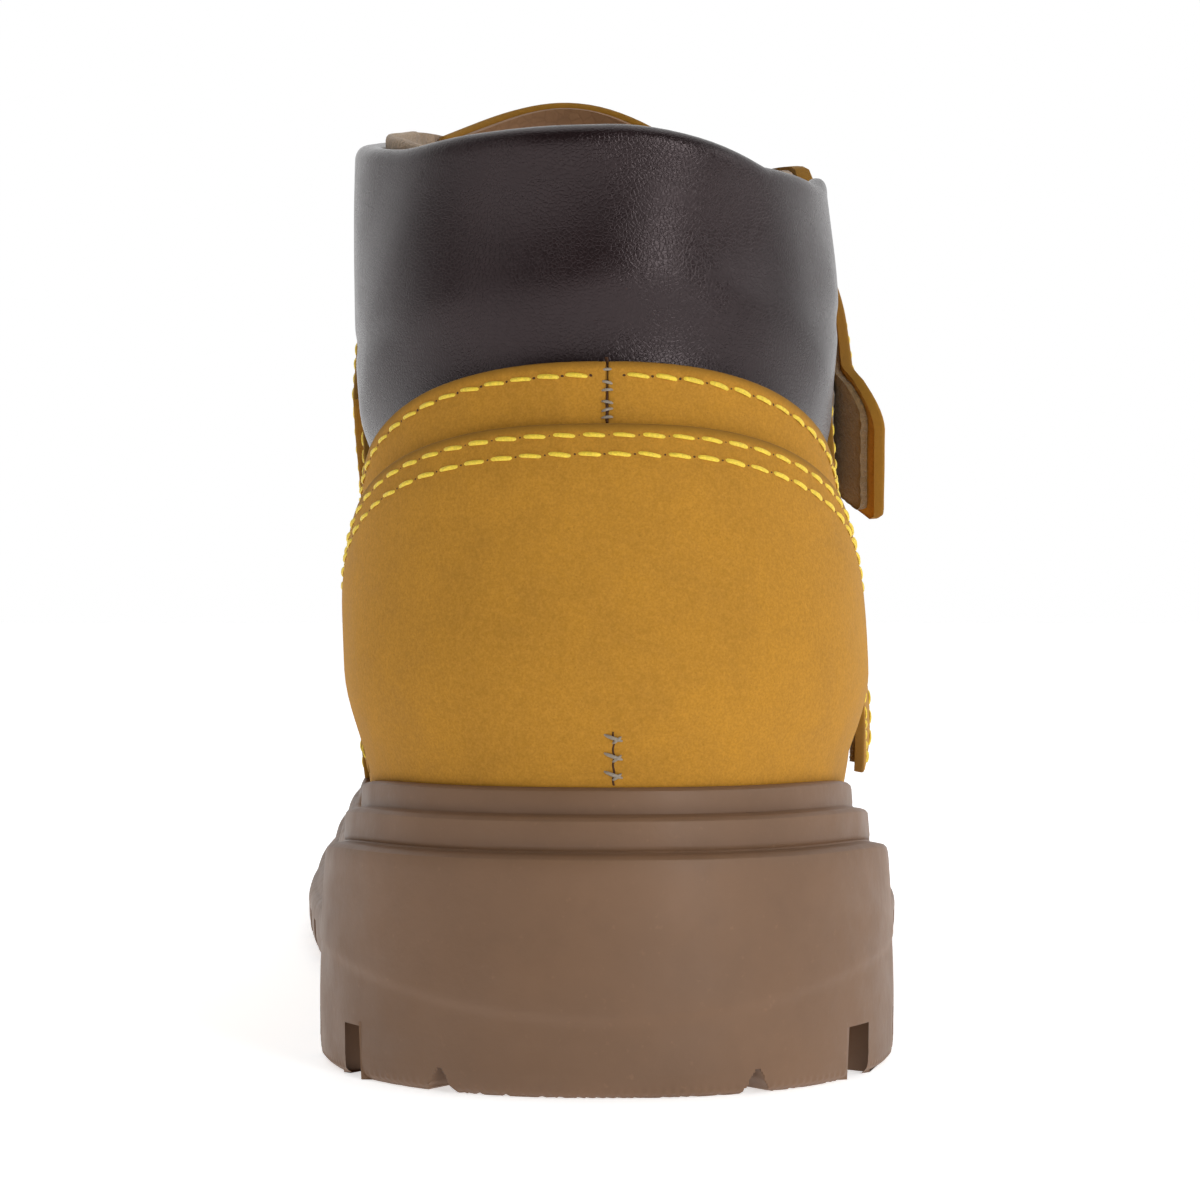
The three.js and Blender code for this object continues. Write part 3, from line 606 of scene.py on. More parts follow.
def contour(f, level, keep=None):
    """The lines on the form where f equals level, longest first."""
    g = f - level
    signs = g[FACE_ARRAY] > 0
    links, spots = {}, {}
    for face in FACE_ARRAY[signs.any(1) & ~signs.all(1)]:
        hit = []
        for k in range(4):
            a, b = int(face[k - 1]), int(face[k])
            if a != b and (g[a] > 0) != (g[b] > 0):
                key = (min(a, b), max(a, b))
                t = g[a] / (g[a] - g[b])
                spots[key] = lerp(BASE[a], BASE[b], t)
                hit.append(key)
        if len(hit) == 2 and hit[0] != hit[1]:
            if keep is None or (keep(spots[hit[0]]) and keep(spots[hit[1]])):
                links.setdefault(hit[0], []).append(hit[1])
                links.setdefault(hit[1], []).append(hit[0])
    lines, seen = [], set()
    for start in sorted(links, key=lambda k: (len(links[k]), k)):
        if start in seen:
            continue
        line, here = [start], start
        seen.add(start)
        while True:
            after = [k for k in links[here] if k not in seen]
            if not after:
                break
            here = after[0]
            seen.add(here)
            line.append(here)
        if len(line) > 2:
            lines.append(np.array([spots[k] for k in line]))
    return sorted(lines, key=lambda l: -len(l))


# ---- Stitches --------------------------------------------------------------------------------

STITCH_PITCH = 3.7
STITCH_LENGTH = 3.45
STITCH_STEPS = 12
THREAD = 0.31
# How far a stitch leans across its row at each end, and how much that varies.
SLANT, SLANT_SPREAD = 0.16, 0.05
# A needle hole: half its length, half its width, and its points round the edge.
HOLE = (0.42, 0.34)
HOLE_SIDES = 8
HOLE_DOME, HOLE_DEPTH = 0.07, 0.12


def thread_piece(path, normals, radius=THREAD, sides=6):
    """A short sewn thread along path, dipping into the leather at both ends."""
    count = len(path)
    t = np.linspace(0, 1, count)
    arch = np.sin(np.pi * t)
    sizes = radius * (0.45 + 0.55 * np.sqrt(arch))
    lift = radius * (-1.1 + 1.6 * np.sqrt(arch))
    tangent = np.gradient(path, axis=0)
    tangent /= np.maximum(np.linalg.norm(tangent, axis=1, keepdims=True), 1e-9)
    across = np.cross(tangent, normals)
    rings = []
    for a in np.linspace(0, 2 * math.pi, sides, endpoint=False):
        up, aside = lift + sizes * math.sin(a) * 0.8, sizes * math.cos(a)
        rings.append(path + normals * up[:, None] + across * aside[:, None])
    vertices = np.stack(rings, 1).reshape(-1, 3)
    faces = []
    for i in range(count - 1):
        for k in range(sides):
            a, b = i * sides + k, i * sides + (k + 1) % sides
            faces.append((a, b, b + sides, a + sides))
    faces.append(tuple(range(sides))[::-1])
    faces.append(tuple((count - 1) * sides + k for k in range(sides)))
    return vertices, faces


class Sewing:
    """Collects threads into one object."""

    def __init__(self):
        self.vertices, self.faces, self.count = [], [], 0
        self.first_hole = None
        self.holes = []

    def add(self, path, normals, radius=THREAD):
        vertices, faces = thread_piece(path, normals, radius)
        self.vertices.append(vertices)
        self.faces += [tuple(v + self.count for v in face) for face in faces]
        self.count += len(vertices)

    def row(self, line, offset):
        """A row of stitches along a line on the form, offset outwards from it."""
        line = np.asarray(line, float)
        count = max(1, int(round(arc_lengths(line)[-1] / STITCH_PITCH)))
        fine = resample(line, count * STITCH_STEPS + 1)
        normals = form_normal(fine)
        raised = fine + normals * offset(fine)[:, None]
        spare = (1 - STITCH_LENGTH / STITCH_PITCH) / 2
        for k in range(count):
            at = np.linspace(k + spare, k + 1 - spare, 7) * STITCH_STEPS
            i = np.minimum(at.astype(int), len(fine) - 2)
            path = lerp(raised[i], raised[i + 1], (at - i)[:, None])
            across = np.cross(path[-1] - path[0], normals[i][3])
            across /= np.linalg.norm(across)
            slant = SLANT + RANDOM.normal(0, SLANT_SPREAD)
            path = path + across * np.linspace(-slant, slant, 7)[:, None]
            self.add(path, normals[i], THREAD * RANDOM.uniform(0.9, 1.1))
            self.holes.append((raised[k * STITCH_STEPS], normals[k * STITCH_STEPS], across))
        self.holes.append((raised[-1], normals[-1], across))

    def add_holes(self):
        """Painted shade of needle holes: small dark domes in the leather where the needle went in."""
        self.first_hole = len(self.faces)
        for centre, normal, across in self.holes:
            along = np.cross(normal, across)
            turn = RANDOM.uniform(0, math.pi)
            points = [centre + normal * HOLE_DOME]
            for k in range(HOLE_SIDES):
                a = turn + k * math.pi / 4
                size = RANDOM.uniform(0.75, 1.2)
                spot = across * math.cos(a) * HOLE[1] * size + along * math.sin(a) * HOLE[0] * size
                points.append(centre + spot - normal * HOLE_DEPTH)
            self.vertices.append(np.array(points))
            ring = [self.count + 1 + k for k in range(HOLE_SIDES)]
            self.faces += [(self.count, a, b) for a, b in zip(ring, ring[1:] + ring[:1])]
            self.faces.append(tuple(ring[::-1]))
            self.count += len(points)

    def build(self, name, material, body=ROOT):
        self.add_holes()
        made = add_object(name, np.vstack(self.vertices), self.faces, material, sharp=60)
        # The needle holes' faces take the dark painted-shade material.
        made.data.materials.append(hole_and_seam_shade)
        for face in made.data.polygons[self.first_hole:]:
            face.material_index = 1
        own(made, body=body)
        return made


# ---- Materials -------------------------------------------------------------------------------


def srgb(*values):
    """A colour from 0 to 255 as the linear values that the materials take."""
    shares = [v / 255 for v in values]
    return tuple(v / 12.92 if v <= 0.04045 else ((v + 0.055) / 1.055) ** 2.4 for v in shares)


def tone(base, share, more=0.0):
    """A lighter or darker shade of a linear colour."""
    return tuple(min(1, v * share + more) for v in base)


def set_inputs(node, **values):
    """Fixed values of a node's inputs, with _ for the spaces in their names."""
    for key, value in values.items():
        node.inputs[key.replace("_", " ")].default_value = value
    return node


class Nodes:
    """A small builder of node materials."""

    def __init__(self, name):
        self.material = bpy.data.materials.new(name)
        self.material.use_nodes = True
        self.tree = self.material.node_tree
        self.shader = self.tree.nodes["Principled BSDF"]
        self.object = self.new("ShaderNodeTexCoord").outputs["Object"]

    def new(self, kind):
        return self.tree.nodes.new(kind)

    def link(self, a, b):
        self.tree.links.new(a, b)

    def feed(self, socket, value):
        """Link value into a socket, or set it there if it is a number or a colour."""
        if isinstance(value, (int, float)):
            socket.default_value = value
        elif isinstance(value, tuple):
            socket.default_value = (*value, 1)
        else:
            self.link(value, socket)

    def scaled(self, x, y, z):
        node = set_inputs(self.new("ShaderNodeMapping"), Scale=(x, y, z))
        self.link(self.object, node.inputs["Vector"])
        return node.outputs["Vector"]

    def noise(self, scale, detail=3.0, roughness=0.55, distortion=0.0):
        node = self.new("ShaderNodeTexNoise")
        set_inputs(node, Scale=scale, Detail=detail, Roughness=roughness, Distortion=distortion)
        self.link(self.object, node.inputs["Vector"])
        return node.outputs["Fac"]

    def cells(self, scale, feature="F1"):
        node = self.new("ShaderNodeTexVoronoi")
        node.feature = feature
        node.inputs["Scale"].default_value = scale
        self.link(self.object, node.inputs["Vector"])
        return node.outputs["Distance"]

    def ramp(self, value, low, high, a=0.0, b=1.0):
        node = self.new("ShaderNodeMapRange")
        set_inputs(node, From_Min=low, From_Max=high, To_Min=a, To_Max=b)
        self.link(value, node.inputs["Value"])
        return node.outputs["Result"]

    def math(self, operation, a, b):
        node = self.new("ShaderNodeMath")
        node.operation = operation
        for socket, value in zip(node.inputs, (a, b)):
            self.feed(socket, value)
        return node.outputs["Value"]

    def mix(self, factor, a, b):
        node = self.new("ShaderNodeMix")
        node.data_type = "RGBA"
        for socket, value in ((node.inputs[0], factor), (node.inputs[6], a), (node.inputs[7], b)):
            self.feed(socket, value)
        return node.outputs[2]

    def attribute(self, name):
        node = self.new("ShaderNodeAttribute")
        node.attribute_name = name
        return node.outputs["Fac"]

    def bump(self, height, distance, strength=1.0, normal=None):
        node = set_inputs(self.new("ShaderNodeBump"), Distance=distance, Strength=strength)
        self.link(height, node.inputs["Height"])
        if normal is not None:
            self.link(normal, node.inputs["Normal"])
        return node.outputs["Normal"]

    def finish(self, colour, roughness, normal, **fixed):
        self.link(colour, self.shader.inputs["Base Color"])
        self.feed(self.shader.inputs["Roughness"], roughness)
        self.link(normal, self.shader.inputs["Normal"])
        set_inputs(self.shader, **fixed)
        return self.material


def nubuck(name, base):
    n = Nodes(name)
    broad = n.ramp(n.noise(38, 4, 0.6), 0.32, 0.68)
    nap = n.ramp(n.noise(150, 4, 0.65, distortion=0.6), 0.3, 0.7)
    grain = n.noise(1500, 3, 0.7)
    pores = n.cells(1150)
    clouds = n.math("ADD", n.math("MULTIPLY", broad, 0.5), n.math("MULTIPLY", nap, 0.5))
    colour = n.mix(clouds, tone(base, 0.82), tone(base, 1.12))
    colour = n.mix(n.ramp(grain, 0.35, 0.7, 0.0, 0.35), colour, tone(base, 1.45, 0.015))
    colour = n.mix(n.ramp(pores, 0.0, 0.16, 0.45, 0.0), colour, tone(base, 0.42))
    # The cut edge of the hide is darker than its face.
    colour = n.mix(n.ramp(n.attribute("edge"), 0.0, 0.9, 0.72, 0.0), colour, tone(base, 0.42))
    speck = n.noise(3200, 2, 0.6)
    colour = n.mix(n.ramp(speck, 0.4, 0.62, 0.0, 0.3), colour, tone(base, 0.62))
    normal = n.bump(n.noise(60, 4, 0.6), 0.0003, 0.4)
    normal = n.bump(grain, 0.00012, 0.5, normal)
    normal = n.bump(speck, 0.00006, 0.6, normal)
    sheen = {"Sheen_Weight": 0.12, "Sheen_Roughness": 0.45, "Sheen_Tint": (0.95, 0.75, 0.4, 1)}
    return n.finish(colour, n.ramp(nap, 0, 1, 0.78, 0.92), normal, **sheen, Specular_IOR_Level=0.16)


def grain_leather(name, base, rough, scale, wrinkle, coat):
    n = Nodes(name)
    cells = n.cells(scale, "DISTANCE_TO_EDGE")
    fine = n.noise(scale * 2.4, 3, 0.6)
    broad = n.ramp(n.noise(45, 4, 0.6), 0.3, 0.7)
    colour = n.mix(broad, tone(base, 0.72), tone(base, 1.25))
    colour = n.mix(n.ramp(cells, 0.0, 0.12, 0.25, 0.0), colour, tone(base, 0.55))
    normal = n.bump(n.noise(85, 5, 0.65, distortion=0.8), wrinkle, 0.4)
    normal = n.bump(n.ramp(cells, 0.0, 0.16), 0.00005, 0.4, normal)
    normal = n.bump(fine, 0.00005, 0.5, normal)
    roughness = n.ramp(n.noise(120, 3, 0.6), 0.3, 0.7, *rough)
    shine = {"Coat_Weight": coat, "Coat_Roughness": 0.5, "Specular_Tint": (1.0, 0.84, 0.86, 1.0)}
    return n.finish(colour, roughness, normal, **shine, Specular_IOR_Level=0.38)


def rubber(name, base):
    n = Nodes(name)
    broad = n.ramp(n.noise(30, 4, 0.6), 0.3, 0.7)
    specks = n.noise(900, 2, 0.6)
    colour = n.mix(broad, tone(base, 0.88), tone(base, 1.12))
    colour = n.mix(n.ramp(specks, 0.66, 0.78, 0.0, 0.3), colour, tone(base, 1.5))
    colour = n.mix(n.ramp(n.noise(170, 4, 0.7), 0.5, 0.8, 0.0, 0.16), colour, tone(base, 0.6))
    normal = n.bump(n.noise(700, 3, 0.6), 0.0001, 0.5)
    normal = n.bump(n.noise(45, 3, 0.5), 0.0005, 0.25, normal)
    roughness = n.ramp(n.noise(160, 3, 0.6), 0.3, 0.7, 0.44, 0.58)
    return n.finish(colour, roughness, normal, Specular_IOR_Level=0.4)


def fleece(name, base, scale=900, depth=0.0004):
    n = Nodes(name)
    tuft = n.noise(scale, 4, 0.75, distortion=1.2)
    clump = n.noise(scale * 0.22, 3, 0.6)
    colour = n.mix(n.ramp(tuft, 0.3, 0.7), tone(base, 0.55), tone(base, 1.35))
    colour = n.mix(n.ramp(clump, 0.35, 0.65, 0.0, 0.4), colour, tone(base, 0.75))
    normal = n.bump(clump, depth * 1.4, 0.6)
    normal = n.bump(tuft, depth, 0.9, normal)
    return n.finish(colour, 0.95, normal, Sheen_Weight=0.4, Sheen_Roughness=0.6, Specular_IOR_Level=0.15)


THREADS_PER_METRE = 1 / 0.0012


def woven(name, base):
    n = Nodes(name)
    threads = []
    for scale in ((THREADS_PER_METRE, 0, 0), (0, THREADS_PER_METRE, 0)):
        node = set_inputs(n.new("ShaderNodeTexWave"), Scale=0.32)
        n.link(n.scaled(*scale), node.inputs["Vector"])
        threads.append(node.outputs["Fac"])
    weave = n.math("MAXIMUM", *threads)
    colour = n.mix(weave, tone(base, 0.6), tone(base, 1.25))
    colour = n.mix(n.ramp(n.noise(60, 3), 0.3, 0.7, 0.0, 0.3), colour, tone(base, 0.7))
    return n.finish(colour, 0.9, n.bump(weave, 0.0002, 0.7), Sheen_Weight=0.2)


def speckled(name, base, rough, scale, metal=0.0, depth=0.0001):
    n = Nodes(name)
    fine = n.noise(scale, 4, 0.65)
    colour = n.mix(n.ramp(fine, 0.3, 0.7), tone(base, 0.75), tone(base, 1.15))
    roughness = n.ramp(fine, 0.3, 0.7, rough - 0.08, rough + 0.08)
    return n.finish(colour, roughness, n.bump(fine, depth, 0.6), Metallic=metal)


MATERIALS = {
    "nubuck": nubuck("wheat_nubuck", srgb(179, 127, 42)),
    "collar_leather": grain_leather(
        "brown_collar_leather", srgb(28, 18, 19), (0.22, 0.3), 1900, 0.00016, 0.05
    ),
    "tongue_leather": grain_leather(
        "tan_lining_leather", srgb(140, 104, 72), (0.5, 0.66), 600, 0.0004, 0.0
    ),
    "textile_lining": fleece("beige_fleece", srgb(178, 148, 114)),
    "outsole_rubber": rubber("gum_rubber", srgb(120, 90, 66)),
    "hook_tape": fleece("brown_hook_tape", srgb(132, 106, 66), 1300, 0.0004),
    "loop_tape": fleece("brown_loop_tape", srgb(128, 102, 66), 1000, 0.0005),
    "footbed_foam": woven("grey_footbed_cloth", srgb(70, 70, 74)),
    "padding": speckled("cream_foam", srgb(220, 208, 176), 0.9, 900),
    "midsole_filler": speckled("grey_filler", srgb(112, 106, 98), 0.85, 500),
    "insole_board": speckled("fibre_board", srgb(181, 154, 106), 0.8, 700),
    "shank_steel": speckled("shank_steel", srgb(150, 152, 158), 0.35, 800, 1.0, 0.00003),
    "toe_steel": speckled("toe_steel", srgb(150, 152, 158), 0.35, 800, 1.0, 0.00003),
    "stiffener": speckled("stiffener_sheet", srgb(206, 200, 184), 0.6, 400),
    "edge_strip": speckled("black_rubber_strip", srgb(38, 38, 42), 0.7, 500),
}
thread_yellow = speckled("yellow_thread", srgb(240, 208, 62), 0.55, 2600)
thread_grey = speckled("grey_thread", srgb(150, 138, 122), 0.6, 2600)
# Painted shade: a dark brown that stands in for the shade inside needle holes and seam gaps.
hole_and_seam_shade = speckled("hole_and_seam_shade", srgb(74, 42, 16), 0.9, 2000)

for part in frame["record"]["subparts"]:
    node = frame["nodes"][part["node"]]
    node.data.materials.clear()
    node.data.materials.append(MATERIALS[part["material_slot"]])

# ---- Outer leather ---------------------------------------------------------------------------

X, Y, Z = BASE.T
on_side = {side: side * (X - ridge_x(Y)) for side in (MEDIAL, LATERAL)}
above_ledge = Z - ledge(Y) - GAP
above_wall = Z - wall_top(Y) - GAP


def waves(p, size, depth, seed):
    """Gentle unevenness of soft leather over the form."""
    a, b, c = p[:, 0] / size, p[:, 1] / size, p[:, 2] / size
    long = np.sin(a * 2.1 + b * 1.7 + seed) * np.cos(c * 2.3 - b + seed * 2)
    short = np.sin(b * 3.1 + c * 2.7 + seed * 3) * np.cos(a * 2.9 + 1)
    return depth * (long + 0.6 * short)


# How far the heel panel and the toe overlay reach down behind the sole's wall.
BEHIND_WALL = 1.2
heel_panel_f = np.minimum(region(below(HEEL_PANEL_EDGE)), above_wall + BEHIND_WALL)


def quarter_shape(side):
    return lambda p: np.minimum(region(quarter_outline(side), p), p[:, 2] - ledge(p[:, 1]) - GAP)


vamp_f = np.minimum(region(ahead_of(VAMP_EDGE)), above_ledge)
toe_f = np.minimum(region(ahead_of(TOE_COVER_EDGE)), above_wall + BEHIND_WALL)
collar_edge = np.vstack([curve(COLLAR_SEAM, 40), curve(COLLAR_FRONT, 30)])
heel_edge_line = curve(HEEL_PANEL_EDGE, 40)
vamp_line = curve(VAMP_EDGE, 40)
HEEL_PANEL_LIFT, HEEL_PANEL_CROWN = 1.75, 0.55
TOE_OVERLAY_LIFT = 1.9
PANEL_BACK = -2.0
# Creases where the foot bends: depth, middle y, spread, and turns a millimetre.
FLEX = {"depth": 0.55, "y": 205, "spread": 14, "turn": 0.62}


def quarter_outer(p):
    """The quarter laps a little over the vamp and rises at the collar."""
    flat = p[:, 1:]
    lap = 0.75 * (1 - smooth(1.0, 9, distance(flat, vamp_line))) * (p[:, 2] < 74)
    rise = 0.5 * (1 - smooth(1.0, 6, distance(flat, collar_edge)))
    return lap + rise + waves(p, 17, 0.12, 1.0)


def heel_panel_outer(p):
    flat = p[:, 1:]
    edge = smooth(0, 7, distance(flat, heel_edge_line))
    return HEEL_PANEL_LIFT + HEEL_PANEL_CROWN * edge + waves(p, 14, 0.1, 2.0)


def vamp_outer(p):
    flat = p[:, 1:]
    dip = -0.45 * (1 - smooth(0.5, 6, distance(flat, vamp_line)))
    ripple = np.sin((p[:, 1] - 0.25 * p[:, 2]) * FLEX["turn"])
    flex = FLEX["depth"] * np.exp(-(((p[:, 1] - FLEX["y"]) / FLEX["spread"]) ** 2)) * ripple
    flex = flex * smooth(40, 66, p[:, 2])
    return dip + flex + waves(p, 16, 0.12, 3.0)


def toe_outer(p):
    return TOE_OVERLAY_LIFT + waves(p, 18, 0.06, 4.0)


leather = MATERIALS["nubuck"]
panel("heel_counter", heel_panel_f, heel_panel_outer, GAP, leather, 0.5, "nubuck", ["heel_panel"])
for side, label, cad in ((MEDIAL, "inner", "medial"), (LATERAL, "outer", "lateral")):
    panel(f"quarter_{label}_side", quarter_shape(side), quarter_outer, PANEL_BACK, leather, 0.32, "nubuck",
          [f"quarter_{cad}"], half=on_side[side] - 0.03)
panel("vamp_leather", vamp_f, vamp_outer, PANEL_BACK, leather, 0.4, "nubuck", ["vamp"])
panel("toe_overlay", toe_f, toe_outer, GAP, leather, 0.5, "nubuck", ["toe_cap_cover"])

# ---- Collar ----------------------------------------------------------------------------------

COLLAR_RIM = 2.6
COLLAR_TUCK = 4.0
# The pad's face at its seam, how far it swells, and its back, as offsets from the form.
COLLAR_SEAM_LEVEL, COLLAR_SWELL, COLLAR_BACK = -2.2, 2.9, -4.7
# How far the lining stands above the pad on the medial side.
LINING_RISE = 1.9
COLLAR_BACK_Z = 125.0
LATERAL_FALL = 0.0089
LEVEL_FROM = 21.5
CRUSH = {"depth": 0.35, "z": 101, "width": 1.6}


def collar_outline(side, rise=0.0):
    """The collar's pad, tucked under the quarters along its lower edge. rise lifts its top ahead of
    the heel."""
    seam = curve(COLLAR_SEAM, 40) - (0, COLLAR_TUCK)
    front = curve(COLLAR_FRONT, 30) + (COLLAR_TUCK, 0)
    top = curve(COLLAR_TOP[side], 40)
    top[:, 1] += rise * smooth(16, 34, top[:, 0])
    front = np.array([p for p in front if p[1] < top[0][1] - 2])
    return [*seam, *front, *top]


collar_f = np.where(BASE_SIDE < 0, region(collar_outline(MEDIAL)), region(collar_outline(LATERAL)))
# On the lateral side the top edge falls away from the centre, then steps level.
lateral_drop = LATERAL_FALL * np.clip(X, 0, LEVEL_FROM) ** 2 * (1 - smooth(36, 54, Y))
elsewhere = 40 * smooth(54, 60, Y) + 8 * smooth(8, 26, -X)
collar_f = np.minimum(collar_f, (COLLAR_BACK_Z - lateral_drop - Z) * 0.95 + elsewhere)


def collar_outer(p):
    """A soft pad: tucked in along the seam, full in the middle, leaning in towards its top edge."""
    edge = distance(p[:, 1:], collar_edge)
    signed = np.where(inside(p[:, 1:], [*collar_edge, (85, 170), (-30, 170)]), edge, -edge)
    x, z = p[:, 0], p[:, 2]
    swell = COLLAR_SWELL * smooth(-0.5, 12, signed)
    flank = smooth(20, 32, np.abs(x))
    lean = (0.3 * flank + 1.5 * smooth(10, 30, x)) * smooth(96, 128, z)
    folds = 0.4 * np.sin(x * 0.21 + 1.1) * np.sin(z * 0.19) + waves(p, 12, 0.16, 5.0)
    crush = CRUSH["depth"] * np.exp(-(((z - CRUSH["z"] - 0.05 * x) / CRUSH["width"]) ** 2))
    crush = crush * smooth(26, 33, np.abs(x))
    return COLLAR_SEAM_LEVEL + swell - 0.5 * flank - lean + folds * smooth(0, 10, signed) - crush


def collar_inner(p):
    return COLLAR_BACK + waves(p, 13, 0.12, 6.0)


collar = panel(
    "collar_pad", collar_f, collar_outer, collar_inner, MATERIALS["collar_leather"], COLLAR_RIM,
    "collar_leather", ["collar_cover", "collar_foam"], steps=13, full=True, square=0.8,
)
lining_f = np.where(BASE_SIDE < 0, region(collar_outline(MEDIAL, LINING_RISE)), collar_f)
fabric = MATERIALS["textile_lining"]
panel(
    "collar_lining_cloth", lining_f - 0.3, lambda p: collar_inner(p) + 0.25, lambda p: collar_inner(p) - 1.2,
    fabric, 0.9, "textile_lining", ["collar_lining"], steps=5, full=True,
)

# ---- Linings ---------------------------------------------------------------------------------

heel_lining_f = np.minimum(region(below(HEEL_LINING_EDGE)), above_ledge)
outside_heel = -region(below(HEEL_LINING_EDGE, GAP, GAP))
# The face and the back of each lining, as offsets from the form.
HEEL_LINING, SIDE_LINING, TOE_LINING = (-4.4, -5.6), (-2.3, -3.5), (-4.8, -5.9)
SIDE_LINING_TOP = {MEDIAL: 137.6, LATERAL: 131.5}
panel("heel_lining_cloth", heel_lining_f, *HEEL_LINING, fabric, 0.3, "textile_lining", ["heel_lining"])
for side, label, cad in ((MEDIAL, "inner", "medial"), (LATERAL, "outer", "lateral")):
    f = np.minimum(region(quarter_outline(side, SIDE_LINING_TOP[side])), above_ledge)
    f = np.minimum(f, np.minimum(on_side[side] - 0.1, outside_heel))
    replaced = [f"quarter_lining_{cad}"]
    panel(f"side_lining_{label}", f, *SIDE_LINING, fabric, 0.3, "textile_lining", replaced)
toe_lining_f = np.minimum(region(ahead_of(VAMP_EDGE, 9)), Z - ledge(Y) - 2.7)
panel("forefoot_lining", toe_lining_f, *TOE_LINING, fabric, 0.3, "textile_lining", ["vamp_lining"])

# ---- Tongue ----------------------------------------------------------------------------------

TONGUE_BASE_ANGLE = 0.315
TONGUE_DEPTH = 26.0
TONGUE_TOP_Z = 151.0
TONGUE_RIM = 1.0
TONGUE_CROWN = {"x": -6.6, "z": 146.9, "fall": 0.0165}


TONGUE_FACE, TONGUE_EDGE_BACK, TONGUE_PADDING = -3.9, -6.2, 2.4


def tongue_outline():
    front = [p for p in along_ridge(TONGUE_BASE_ANGLE, 1.36, -6) if p[1] < TONGUE_TOP_Z]
    back = along_ridge(TONGUE_BASE_ANGLE, 1.22, TONGUE_DEPTH)[::-1]
    top = curve([(118, TONGUE_TOP_Z), (108, TONGUE_TOP_Z - 3), (99, TONGUE_TOP_Z - 10), back[0]], 16)
    return [*front, *top, *back[1:]]


def below_crown(p):
    """How far points are below the tongue's arched top edge."""
    return TONGUE_CROWN["z"] - TONGUE_CROWN["fall"] * (p[:, 0] - TONGUE_CROWN["x"]) ** 2 - p[:, 2]


tongue_f = np.minimum(region(tongue_outline()), below_crown(BASE) * 0.9)


def tongue_outer(p):
    return TONGUE_FACE + waves(p, 14, 0.12, 7.0)


def tongue_inner(p):
    padding = TONGUE_PADDING * smooth(0, 14, below_crown(p))
    return TONGUE_EDGE_BACK - padding - 0.4 * np.sin(p[:, 2] * 0.3) + waves(p, 12, 0.15, 8.0)


def joint_named(name):
    return next(joint for joint in frame["joints"] if joint["name"] == name)


hinge_at = Vector(joint_named("tongue_hinge")["pos_m"])
pad = panel(
    "tongue_pad", tongue_f, tongue_outer, tongue_inner, leather, TONGUE_RIM, "nubuck",
    ["tongue_face", "tongue_foam"], body=None, steps=8, full=True,
)
back = panel(
    "tongue_back", tongue_f - 0.5, lambda p: tongue_inner(p) - 0.1, lambda p: tongue_inner(p) - 1.2,
    MATERIALS["tongue_leather"], 0.4, "tongue_leather", ["tongue_lining"], body=None,
)
for piece in (pad, back):
    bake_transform(piece)

# ---- Straps ----------------------------------------------------------------------------------

STRAP_WIDTH = 25.0
STRAP_THICKNESS = 1.7
# Corner radii at the free end, lower and upper.
TIP_RADII = (2.2, 7.0)
LOOP_WIDTH = 20.0
HOOK_WIDTH = 23.0
# How far the strap's underside stands off the form on the medial and the lateral side.
STRAP_LIFT = (0.35, 2.5)
FLARE_LENGTH = 8.6
STRAPS = {
    "upper": {"ridge": (130, 130), "end": (77.4, 83.7), "flare": 5.1},
    "middle": {"ridge": (153.5, 109), "end": (114, 60.5), "flare": 0.2},
    "lower": {"ridge": (180, 92), "end": (151, 38), "flare": 0.0},
}
LOOP = {"inner": 0.3, "outer": 1.3, "start": 4.0, "length": 40.0}
HOOK = {"thickness": 0.8, "start": 1.3, "length": 38.0}


